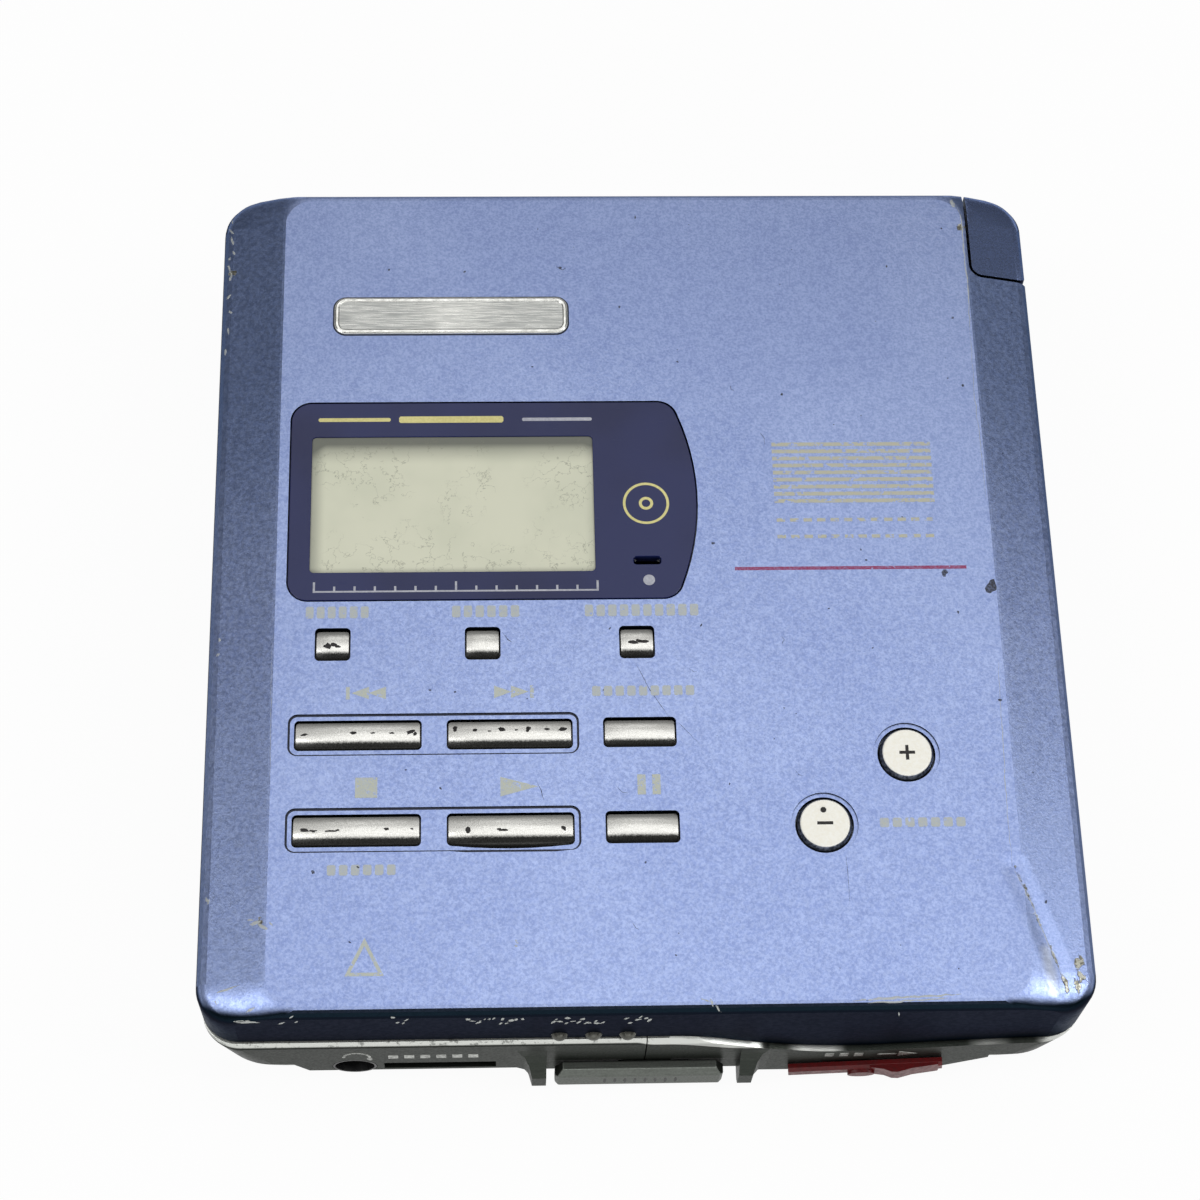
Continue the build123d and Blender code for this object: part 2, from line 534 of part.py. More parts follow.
def rec_slider():
    """The red record slide: a bar that rises to the right, a ridge for the thumb, and a stem."""
    x0, x1 = REC_X
    z0, z1 = REC_Z
    back, face = PANEL_Y - 0.1, PANEL_Y - 0.75
    bar = prism_x([(back, z0), (face + 0.2, z0), (face, z0 + 0.3), (face, z1 - 0.5),
                   (face + 0.25, z1), (back, z1)], x0, x1)
    peak = x0 + 9.8
    ridge = prism_z([(peak - 2.6, back), (peak - 2.2, face), (peak - 1.0, face - 0.2),
                     (peak - 0.3, EAR_Y + 0.15), (peak + 0.3, EAR_Y + 0.1), (peak + 1.6, face - 0.25),
                     (x1 - 0.4, face), (x1, back)], z0 - 0.4, z1 - 0.05)
    pip = Pos(x0 + 6.7, face + 0.2, z0 + 0.6) * Rot(90, 0, 0) * extrude(Ellipse(1.25, 0.7), 0.5)
    middle = Pos((x0 + x1) / 2, 0, (z0 + z1) / 2)
    body = middle * Rot(0, -REC_SLOPE, 0) * middle.inverse() * (bar + ridge + pip)
    return body + block(x0 + 3.2, x0 + 7.5, back, LATCH_Y[1], REC_SLOT_Z[0] + 0.2, REC_SLOT_Z[1] - 0.2)


def hold_switch():
    """The hold slide on the left side, in its slot."""
    x = -HALF_W + 0.1
    cap = block(x - 0.1, x + 2.6, HOLD_Y - 1.0, HOLD_Y + 1.0, HOLD_Z - 0.5, HOLD_Z + 0.5)
    return cap + block(x + 1.3, x + 2.6, HOLD_Y - 1.8, HOLD_Y + 1.8, HOLD_Z - 1.2, HOLD_Z + 1.2)


# ---- sockets and boards ----------------------------------------------------------------
def headphone_jack():
    """The front 3.5 mm socket: a square body with a round collar in the panel."""
    body = block(PHONE_X - 2.9, PHONE_X + 2.2, SOCKET_Y, SOCKET_Y + 13.0, *SOCKET_Z)
    collar = rod_y(PANEL_Y, SOCKET_Y, PHONE_X, JACK_Z, JACK_R + 0.2)
    return body + collar - rod_y(-50, SOCKET_Y + 12.0, PHONE_X, JACK_Z, JACK_R)


def remote_socket():
    """The slot beside the headphone socket, with a row of contacts."""
    x0, x1 = REMOTE_X
    z0, z1 = REMOTE_Z
    body = block(x0 - 0.2, x1 + 0.4, SOCKET_Y, SOCKET_Y + 5.0, z0 - 0.4, z1 + 0.4)
    body -= block(x0 + 0.3, x1 - 0.3, SOCKET_Y - 1, SOCKET_Y + 4.0, z0 + 0.2, z1 - 0.2)
    tongue = block(x0 + 1.5, x1 - 1.5, SOCKET_Y + 0.5, SOCKET_Y + 4.0, z0 + 0.7, z0 + 1.1)
    return body + tongue


def side_jacks():
    """Line and microphone sockets on the left side."""
    jacks = []
    for y in SIDE_JACK_YS:
        body = block(SOCKET_X, SOCKET_X + 12.5, y - 2.7, y + 2.7, *SOCKET_Z)
        collar = rod_x(SOCKET_X - 1.2, SOCKET_X, y, JACK_Z, JACK_R + 0.2)
        jacks.append(body + collar - rod_x(-50, SOCKET_X + 11.5, y, JACK_Z, JACK_R))
    return group(jacks)


def power_jack():
    """The direct-current inlet on the left side, with its centre pin."""
    x0, x1, y = SOCKET_X, SOCKET_X + 9.8, POWER_Y
    body = block(x0, x1, y - 2.7, y + 2.7, *SOCKET_Z)
    collar = rod_x(x0 - 1.2, x0, y, JACK_Z, POWER_R + 0.2)
    return body + collar - rod_x(-50, x1 - 1, y, JACK_Z, POWER_R) + rod_x(x0, x1 - 1, y, JACK_Z, 0.5)


def main_board():
    """The main circuit board on the case floor, cut away round the mechanism."""
    board = slab(-37.5, 37.5, -37.4, 33.4, FLOOR_Z + 0.2, FLOOR_Z + 0.8, 6.0)
    board -= rod_z(0, 5, 0, DISC_Y, 11.0)
    board -= block(8, 40, -18, 15, 0, 5)
    for x, y in DAMPER_SPOTS:
        board -= rod_z(0, 5, x, y, 1.6)
    for x, y in SCREW_SPOTS:
        board -= rod_z(0, 5, x, y, 1.3)
    return board


def board_chips():
    """Integrated circuits and large capacitors on the main board."""
    z = FLOOR_Z + 0.8
    chips = [(-24.0, -18.0, 9.0, 9.0, 1.2), (-23.0, -5.5, 7.0, 7.0, 1.0),
             (-21.5, 27.0, 10.0, 6.0, 1.2), (20.0, 24.0, 8.0, 6.0, 1.2),
             (6.0, -26.0, 9.0, 7.0, 1.2), (20.0, -27.0, 6.0, 6.0, 1.0)]
    cases = []
    for x, y, w, d, h in chips:
        cases.append(block(x - w / 2, x + w / 2, y - d / 2, y + d / 2, z, z + h))
    return group(cases)


# ---- mechanism -------------------------------------------------------------------------
def mechanism_chassis():
    """The steel deck: holes for spindle and sled, and ears for the rods and the screw."""
    z0, z1 = CHASSIS_Z
    deck = slab(-15, 38.3, -32, 31.2, z0, z1, 3.0)
    deck -= rod_z(0, 20, 0, DISC_Y, 8.6)
    deck -= block(10.7, 37.2, -17.2, 16.0, 0, 20)
    deck -= block(-20, -6.6, SCREW_Y - 2.9, SCREW_Y + 2.9, 0, 20)
    for x, y in DAMPER_SPOTS:
        deck -= rod_z(0, 20, x, y, 1.1)
    ears = []
    for y in ROD_YS:
        ears.append(block(9.9, 10.6, y - 1.5, y + 1.5, z1 - 0.2, ROD_Z + 1.3))
        ears.append(block(37.3, 38.0, y - 1.5, y + 1.5, z1 - 0.2, ROD_Z + 1.3))
    ears.append(block(37.3, 38.0, SCREW_Y - 1.6, SCREW_Y + 1.6, z1 - 0.2, SCREW_Z + 1.6))
    ears.append(block(-6.3, -5.7, SCREW_Y - 3.0, SCREW_Y + 3.0, z1 - 0.2, SCREW_Z + 2.6))
    for ear in ears:
        deck += ear
    for y in ROD_YS:
        deck -= rod_x(*ROD_X, y, ROD_Z, ROD_R)
    return deck - rod_x(-10, 40, SCREW_Y, SCREW_Z, 0.5 + RUN)


def rubber_dampers():
    """A soft grommet between each post and the deck."""
    rings = []
    for x, y in DAMPER_SPOTS:
        ring = rod_z(CHASSIS_Z[0] - 0.9, CHASSIS_Z[0], x, y, 2.4) + rod_z(*CHASSIS_Z, x, y, 1.1)
        rings.append(ring - rod_z(0, 20, x, y, 0.6))
    return group(rings)


def chassis_screws():
    screws = []
    for x, y in DAMPER_SPOTS:
        head = rod_z(CHASSIS_Z[1], CHASSIS_Z[1] + 0.6, x, y, 1.7)
        head -= block(x - 0.9, x + 0.9, y - 0.15, y + 0.15, 5.0, 6.0)
        head -= block(x - 0.15, x + 0.15, y - 0.9, y + 0.9, 5.0, 6.0)
        screws.append(head + rod_z(CHASSIS_Z[0] - 0.9, CHASSIS_Z[1], x, y, 0.6))
    return group(screws)


def guide_rods():
    return group(rod_x(*ROD_X, y, ROD_Z, ROD_R) for y in ROD_YS)


def spindle_stator():
    """The fixed half of the disc motor: base plate, coils in a ring and the bearing."""
    base = rod_z(1.2, 1.6, 0, DISC_Y, 10.4)
    post = rod_z(1.6, 4.3, 0, DISC_Y, 1.6)
    coils = base + post
    for turn in range(9):
        coils += Pos(0, DISC_Y, 2.4) * Rot(0, 0, 40 * turn) * Pos(4.6, 0, 0) * Box(4.0, 2.0, 1.7)
    ring = rod_z(1.6, 3.3, 0, DISC_Y, 2.8)
    return coils + ring - rod_z(1.0, 20, 0, DISC_Y, 0.75 + RUN)


def turntable():
    """The disc motor's rotor: magnet cup, shaft, and the hub that centres the disc."""
    cup = rod_z(1.9, 5.6, 0, DISC_Y, 8.2) - rod_z(1.0, 4.6, 0, DISC_Y, 7.3)
    shaft = rod_z(1.7, 5.6, 0, DISC_Y, 0.75)
    hub = rod_z(5.6, 8.6, 0, DISC_Y, 4.6)
    cone = Pos(0, DISC_Y, 9.2) * Cone(2.1, 1.5, 1.2)
    return cup + shaft + hub + cone


def pickup_sled():
    """The optical pickup's carriage, with its screw follower and the head arm's post."""
    x0, x1 = LENS_X - 3.4, LENS_X + 6.0
    sled = block(x0, x1, ROD_YS[0] - 1.2, ROD_YS[1] + 1.2, 3.2, 8.0)
    sled -= rod_z(5.0, 9.0, LENS_X, DISC_Y, 3.0)
    sled += rod_z(4.8, 7.0, LENS_X, DISC_Y, 2.2)
    for y in ROD_YS:
        sled -= rod_x(0, 40, y, ROD_Z, ROD_R + RUN)
    # follower beside the screw, and the strip over it that carries the head arm
    sled += block(x0 + 1.0, x0 + 4.0, ROD_YS[1] + 1.2, SCREW_Y - SCREW_R - 0.25, 5.4, 7.0)
    sled += block(x0 + 1.0, x1 - 1.5, ROD_YS[1], HOLDER_Y + 0.4, 7.5, 8.0)
    sled += block(x0 + 1.0, x1 - 1.5, HOLDER_Y - 0.4, HOLDER_Y + 0.4, 7.5, HOLDER_Z)
    pin = rod_x(x0 + 1.0, x1 - 1.5, HOLDER_Y, HOLDER_Z, ARM_PIN_R)
    gap = block(x0 + 2.2, x1 - 2.7, HOLDER_Y - 2, HOLDER_Y + 2, HOLDER_Z - 1.1, HOLDER_Z + 2)
    return sled - gap + pin


def objective_lens():
    """The focusing lens in its cup, held just clear of the disc."""
    cup = rod_z(7.0, 8.9, LENS_X, DISC_Y, 2.2) - rod_z(8.3, 9.5, LENS_X, DISC_Y, 1.7)
    dome = Pos(LENS_X, DISC_Y, 6.4) * Sphere(2.6)
    return cup + (dome & rod_z(8.2, 9.2, LENS_X, DISC_Y, 1.7))


def sled_motor():
    """The small motor that turns the lead screw."""
    can = rod_x(-19.0, -7.6, SCREW_Y, SCREW_Z, 2.6)
    return can + rod_x(-7.6, -6.5, SCREW_Y, SCREW_Z, 1.2) - rod_x(-9, -6, SCREW_Y, SCREW_Z, 0.55)


def lead_screw():
    """The screw that drives the sled, grooved along its working length."""
    screw = rod_x(-5.5, 37.1, SCREW_Y, SCREW_Z, SCREW_R) + rod_x(-8.0, 37.8, SCREW_Y, SCREW_Z, 0.5)
    for turn in range(26):
        x = 1.0 + 1.35 * turn
        groove = rod_x(x, x + 0.6, SCREW_Y, SCREW_Z, 2)
        screw -= groove - rod_x(x, x + 0.6, SCREW_Y, SCREW_Z, SCREW_R - 0.18)
    return screw


def disc_holder():
    """The folded sheet tray that the cartridge slides into from the front."""
    side, z0, z1 = DISC_W / 2 + 0.2, HOLDER_BOTTOM_Z, HOLDER_TOP_Z
    front, back = DISC_Y - DISC_D / 2 - 0.3, DISC_Y + DISC_D / 2 + 0.1
    outer = side + SHEET
    tray = block(-outer, outer, front, back + SHEET, z1 - SHEET, z1)
    tray += block(-outer, outer, back, back + SHEET, z0, z1)
    for s in (-1, 1):
        x_in, x_out = sorted((s * side, s * outer)), sorted((s * (side - 2.4), s * outer))
        tray += block(*x_in, front, back + SHEET, z0, z1)
        tray += block(*x_out, front, back + SHEET, z0, z0 + SHEET)
        tray += block(*x_in, back, HOLDER_Y + 0.6, HOLDER_Z - 0.7, HOLDER_Z + 0.7)
        pin_x = sorted((s * side, s * 37.7))
        tray += rod_x(*pin_x, HOLDER_Y, HOLDER_Z, HOLDER_PIN_R)
    # windows: a round one over the spindle and a long one for the recording head
    tray -= slab(8.5, 35.0, DISC_Y - 4.0, DISC_Y + 4.0, z1 - 1, z1 + 1, 1.0)
    for x, y in ((-22, 16), (-22, -22), (18, -24)):
        tray -= slab(x - 8, x + 8, y - 6, y + 6, z1 - 1, z1 + 1, 2.0)
    return tray


def holder_springs():
    """Two leaf springs on the tray's roof that press the cartridge down."""
    z = HOLDER_TOP_Z
    leaves = []
    for x in (-33.5, 31.0):
        leaf = block(x, x + 2.5, -25.0, -8.0, z, z + 0.12)
        leaves.append(leaf + block(x, x + 2.5, -25.0, -22.0, z + 0.12, z + 0.3))
    return group(leaves)


def head_arm():
    """The flat arm over the disc that carries the recording head, lifted with the holder."""
    x0, x1 = LENS_X - 1.0, LENS_X + 1.6
    z0, z1 = HOLDER_TOP_Z + 0.15, HOLDER_TOP_Z + 0.5
    knuckle = rod_x(x0, x1, HOLDER_Y, HOLDER_Z, 0.75)
    knuckle += block(x0, x1, HOLDER_Y - 0.3, HOLDER_Y + 0.3, HOLDER_Z, z1)
    arm = block(x0, x1, DISC_Y - 1.8, HOLDER_Y + 0.3, z0, z1)
    arm += block(x0 - 0.8, x1 + 0.8, DISC_Y - 2.2, DISC_Y + 4.0, z0, z1)
    return arm + knuckle - rod_x(0, 40, HOLDER_Y, HOLDER_Z, ARM_PIN_R + RUN)


def recording_head():
    """The head's slider under the end of its arm, in the holder's window."""
    z0, z1 = HOLDER_TOP_Z - 0.3, HOLDER_TOP_Z + 0.15
    return slab(LENS_X - 1.6, LENS_X + 1.6, DISC_Y - 1.8, DISC_Y + 1.8, z0, z1, 0.5)


# ---- write every node ------------------------------------------------------------------
def all_nodes():
    nodes = {
        "bottom_case": bottom_case(),
        "front_panel_left": front_panel(left=True),
        "front_panel_right": front_panel(left=False),
        "case_screws": case_screws(),
        "battery_case": battery_case(),
        "battery_cell": battery_cell(),
        "battery_terminal": battery_terminal(),
        "hinge_brackets": hinge_brackets(),
        "hinge_pins": hinge_pins(),
        "door_pin": door_pin(),
        "headphone_jack": headphone_jack(),
        "remote_socket": remote_socket(),
        "side_jacks": side_jacks(),
        "power_jack": power_jack(),
        "main_board": main_board(),
        "board_chips": board_chips(),
        "mechanism_chassis": mechanism_chassis(),
        "rubber_dampers": rubber_dampers(),
        "chassis_screws": chassis_screws(),
        "guide_rods": guide_rods(),
        "spindle_stator": spindle_stator(),
        "sled_motor": sled_motor(),
        "latch_spring": latch_spring(),
        "turntable": turntable(),
        "pickup_sled": pickup_sled(),
        "objective_lens": objective_lens(),
        "lead_screw": lead_screw(),
        "disc_holder": disc_holder(),
        "holder_springs": holder_springs(),
        "head_arm": head_arm(),
        "recording_head": recording_head(),
        "battery_door": battery_door(),
        "door_contact": door_contact(),
        "open_knob": open_knob(),
        "latch_slider": latch_slider(),
        "rec_slider": rec_slider(),
        "hold_switch": hold_switch(),
        "lid_shell": lid_shell(),
        "lid_knuckles": lid_knuckles(),
        "lid_catches": lid_catches(),
        "front_studs": front_studs(),
        "name_plate": name_plate(),
        "display_bezel": display_bezel(),
        "lcd_window": lcd_window(),
        "lcd_panel": lcd_panel(),
        "key_board": key_board(),
        "key_domes": key_domes(),
    }
    for name in BUTTONS:
        nodes[name] = push_button(name)
    for name in VOLUME_BUTTONS:
        nodes[name] = volume_button(name)
    return nodes


os.makedirs("parts", exist_ok=True)
for node, part in all_nodes().items():
    export_step(part, f"parts/{node}.step")
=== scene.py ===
import bpy
import math
import random
from mathutils import Matrix, Vector
from mathutils.bvhtree import BVHTree


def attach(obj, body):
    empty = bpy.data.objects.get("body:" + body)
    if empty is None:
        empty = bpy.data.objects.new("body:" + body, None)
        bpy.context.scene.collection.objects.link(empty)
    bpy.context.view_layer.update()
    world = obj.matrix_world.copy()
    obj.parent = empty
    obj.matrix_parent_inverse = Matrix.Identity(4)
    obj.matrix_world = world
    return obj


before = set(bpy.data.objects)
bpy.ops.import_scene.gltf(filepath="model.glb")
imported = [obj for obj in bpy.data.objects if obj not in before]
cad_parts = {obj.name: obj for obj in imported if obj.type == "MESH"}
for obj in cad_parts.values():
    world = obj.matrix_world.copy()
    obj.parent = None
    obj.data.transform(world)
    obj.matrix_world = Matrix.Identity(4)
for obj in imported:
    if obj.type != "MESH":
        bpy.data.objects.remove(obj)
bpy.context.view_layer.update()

MM = 0.001
TOP_Z = 18.9            # flat top of the lid, mm

# ---- camera -----------------------------------------------------------------------------
ELEVATION, AZIMUTH, ROLL = math.radians(65.0), math.radians(-5.31477), math.radians(4.36827)
TARGET = Vector((-3.55703, -1.68657, 18.9)) * MM
DISTANCE, LENS, SENSOR = 257.26372 * MM, 82.706, 36.0
PICTURE = 1200          # the picture's side, in pixels
BACK = Vector((math.sin(AZIMUTH) * math.cos(ELEVATION),
               -math.cos(AZIMUTH) * math.cos(ELEVATION), math.sin(ELEVATION)))
LEVEL = (-BACK).cross(Vector((0, 0, 1))).normalized()
RIGHT = math.cos(ROLL) * LEVEL + math.sin(ROLL) * LEVEL.cross(-BACK)
UP = BACK.cross(RIGHT)
EYE = TARGET + BACK * DISTANCE


def link(name, data):
    obj = bpy.data.objects.new(name, data)
    bpy.context.scene.collection.objects.link(obj)
    return obj


def make_camera():
    data = bpy.data.cameras.new("camera")
    data.lens, data.sensor_width = LENS, SENSOR
    data.clip_start, data.clip_end = 0.01, 20.0
    camera = link("camera", data)
    turn = Matrix((RIGHT, UP, BACK)).transposed().to_4x4()
    camera.matrix_world = Matrix.Translation(EYE) @ turn
    bpy.context.scene.camera = camera


# ---- node trees -------------------------------------------------------------------------
def rgb(red, green, blue):
    """A display colour of 0 to 255 as the linear colour that a shader takes."""
    def linear(value):
        value /= 255
        return value / 12.92 if value <= 0.04045 else ((value + 0.055) / 1.055) ** 2.4
    return (linear(red), linear(green), linear(blue), 1.0)


class Graph:
    """A short way to write a node tree. Lengths are in millimetres."""

    def __init__(self, tree):
        self.tree = tree
        coords = tree.nodes.new("ShaderNodeTexCoord")
        self.point = self.vector("SCALE", coords.outputs["Object"], scale=1 / MM)
        self.normal = coords.outputs["Normal"]

    def feed(self, socket, value):
        if isinstance(value, bpy.types.NodeSocket):
            self.tree.links.new(value, socket)
        else:
            socket.default_value = value

    def node(self, kind, *values, **settings):
        node = self.tree.nodes.new("ShaderNode" + kind)
        for key, value in settings.items():
            setattr(node, key, value)
        for socket, value in zip(node.inputs, values):
            self.feed(socket, value)
        return node

    def math(self, operation, value, *others):
        """The operation on the value and each of the others in turn."""
        for other in others or (0.0,):
            value = self.node("Math", value, other, operation=operation).outputs[0]
        return value

    def vector(self, operation, a, b=(0, 0, 0), scale=1.0):
        node = self.node("VectorMath", a, b, operation=operation)
        if operation == "SCALE":
            self.feed(node.inputs["Scale"], scale)
        number = operation in ("LENGTH", "DOT_PRODUCT", "DISTANCE")
        return node.outputs["Value" if number else "Vector"]

    def axis(self, vector, name):
        return self.node("SeparateXYZ", vector).outputs[name]

    def noise(self, point, scale, detail=2.0, roughness=0.5):
        node = self.tree.nodes.new("ShaderNodeTexNoise")
        self.feed(node.inputs["Vector"], point)
        for name, value in (("Scale", scale), ("Detail", detail), ("Roughness", roughness)):
            node.inputs[name].default_value = value
        return node.outputs[0]

    def cells(self, point, scale, output="Distance"):
        node = self.tree.nodes.new("ShaderNodeTexVoronoi")
        self.feed(node.inputs["Vector"], point)
        node.inputs["Scale"].default_value = scale
        return node.outputs[output]

    def ramp(self, value, low, high, start=0.0, end=1.0):
        """A smooth step from start at low to end at high."""
        node = self.node("MapRange", value, low, high, start, end, interpolation_type="SMOOTHSTEP")
        return node.outputs[0]

    def mix(self, factor, a, b):
        node = self.tree.nodes.new("ShaderNodeMix")
        node.data_type = "RGBA"
        for index, value in ((0, factor), (6, a), (7, b)):
            self.feed(node.inputs[index], value)
        return node.outputs[2]

    def blend(self, factor, a, b):
        node = self.tree.nodes.new("ShaderNodeMix")
        for index, value in ((0, factor), (2, a), (3, b)):
            self.feed(node.inputs[index], value)
        return node.outputs[0]

    def line_distance(self, start, end):
        """How far the shaded point is from the line between two places, in mm."""
        run = end - start
        offset = self.vector("SUBTRACT", self.point, tuple(start))
        share = self.math("DIVIDE", self.vector("DOT_PRODUCT", offset, tuple(run)), run.length_squared)
        share = self.node("Clamp", share, 0.0, 1.0).outputs[0]
        foot = self.vector("SCALE", tuple(run), scale=share)
        return self.vector("LENGTH", self.vector("SUBTRACT", offset, foot))

    def bump(self, height, depth):
        node = self.tree.nodes.new("ShaderNodeBump")
        self.feed(node.inputs["Height"], height)
        node.inputs["Distance"].default_value = depth * MM
        return node.outputs["Normal"]


def start_material(name):
    """A new material's graph, which end_material joins to its shader."""
    material = bpy.data.materials.new(name)
    material.use_nodes = True
    g = Graph(material.node_tree)
    g.material = material
    return g


def end_material(g, color, roughness, metallic=0.0, normal=None, **constants):
    """Feeds the material's one Principled shader."""
    shader = g.material.node_tree.nodes["Principled BSDF"]
    for socket, value in (("Base Color", color), ("Roughness", roughness), ("Metallic", metallic)):
        g.feed(shader.inputs[socket], value)
    if normal is not None:
        g.feed(shader.inputs["Normal"], normal)
    for key, value in constants.items():
        shader.inputs[key.replace("_", " ")].default_value = value
    return g.material


def grained(name, light, dark, roughness, metallic=0.0, grain=2.0, stretch=(1, 1, 1), relief=0.01,
            dirt=0.0, **constants):
    """A cloudy colour with fine grain, uneven gloss and, with dirt, dark specks."""
    g = start_material(name)
    point = g.vector("MULTIPLY", g.point, stretch)
    fine = g.noise(point, grain, 4.0, 0.6)
    broad = g.noise(g.point, 0.12, 3.0)
    tone = g.math("ADD", g.ramp(fine, 0.35, 0.65, 0.0, 0.55), g.ramp(broad, 0.35, 0.65, 0.0, 0.45))
    color = g.mix(tone, light, dark)
    if dirt:
        specks = g.ramp(g.noise(g.point, 0.9, 6.0, 0.75), 0.64, 0.7, 0.0, dirt)
        color = g.mix(specks, color, rgb(38, 36, 34))
    gloss = g.ramp(fine, 0.3, 0.7, roughness - 0.07, roughness + 0.07)
    return end_material(g, color, gloss, metallic, g.bump(fine, relief), **constants)


# ---- finding places on the surface ------------------------------------------------------
FAR = 0.1               # where a look from the front starts, m


class Skin:
    """The visible surface of one or more nodes, to lay thin pieces on."""

    def __init__(self, *nodes):
        scene_graph = bpy.context.evaluated_depsgraph_get()
        self.trees = [BVHTree.FromObject(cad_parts[n], scene_graph) for n in nodes]

    def cast(self, origin, direction):
        hits = [tree.ray_cast(origin, direction) for tree in self.trees]
        hits = [hit for hit in hits if hit[0] is not None]
        if not hits:
            return None
        place, normal = min(hits, key=lambda hit: hit[3])[:2]
        return place, normal if normal.dot(direction) < 0 else -normal

    def pixel(self, u, v):
        """The surface seen at a picture place."""
        reach = SENSOR / LENS / PICTURE
        ray = RIGHT * (u - PICTURE / 2) * reach + UP * (PICTURE / 2 - v) * reach - BACK
        return self.cast(EYE, ray.normalized())

    def front(self, x, z):
        """The surface behind (x, z) mm, seen from the front."""
        return self.cast(Vector((x * MM, -FAR, z * MM)), Vector((0, 1, 0)))


def rectangle(x0, x1, y0, y1, cut=0.0):
    """A rectangle's outline, with its corners cut where cut is more than 0."""
    if not cut:
        return [(x0, y0), (x1, y0), (x1, y1), (x0, y1)]
    return [(x0 + cut, y0), (x1 - cut, y0), (x1, y0 + cut), (x1, y1 - cut),
            (x1 - cut, y1), (x0 + cut, y1), (x0, y1 - cut), (x0, y0 + cut)]


def disc(x, y, r, count=32):
    return [(x + r * math.cos(2 * math.pi * i / count), y + r * math.sin(2 * math.pi * i / count))
            for i in range(count)]


def rounded(x0, x1, y0, y1, r, steps=8):
    """A rounded rectangle's outline, counter-clockwise from its right side."""
    outline = []
    corners = ((x1 - r, y1 - r, 0), (x0 + r, y1 - r, 90), (x0 + r, y0 + r, 180), (x1 - r, y0 + r, 270))
    for cx, cy, start in corners:
        for k in range(steps + 1):
            a = math.radians(start + 90 * k / steps)
            outline.append((cx + r * math.cos(a), cy + r * math.sin(a)))
    return outline


def triangle(x0, x1, y, half):
    """A triangle that points from x0 to x1."""
    outline = [(x0, y - half), (x1, y), (x0, y + half)]
    return outline if x1 > x0 else outline[::-1]


LIFT, DEPTH = 0.012, 0.02               # how far a print stands out and reaches in, mm
EDGE_SINK, CORE_SINK = 0.01, 0.06       # how far a thin lens's edge and its back lie in, mm
CORE_SHARE = 0.7                        # the share of a thin lens's width that has its full height
MOST_SPREAD = 4.0                       # a wider lens has run over a step and is left out, mm
RIDGE_LIFT, RIDGE_SINK, RIDGE_ROOT = 0.008, 0.004, 0.03     # a scratch's crest, sides and root, mm
RIDGE_STEP = 6                          # how far apart a scratch's places are, picture pixels


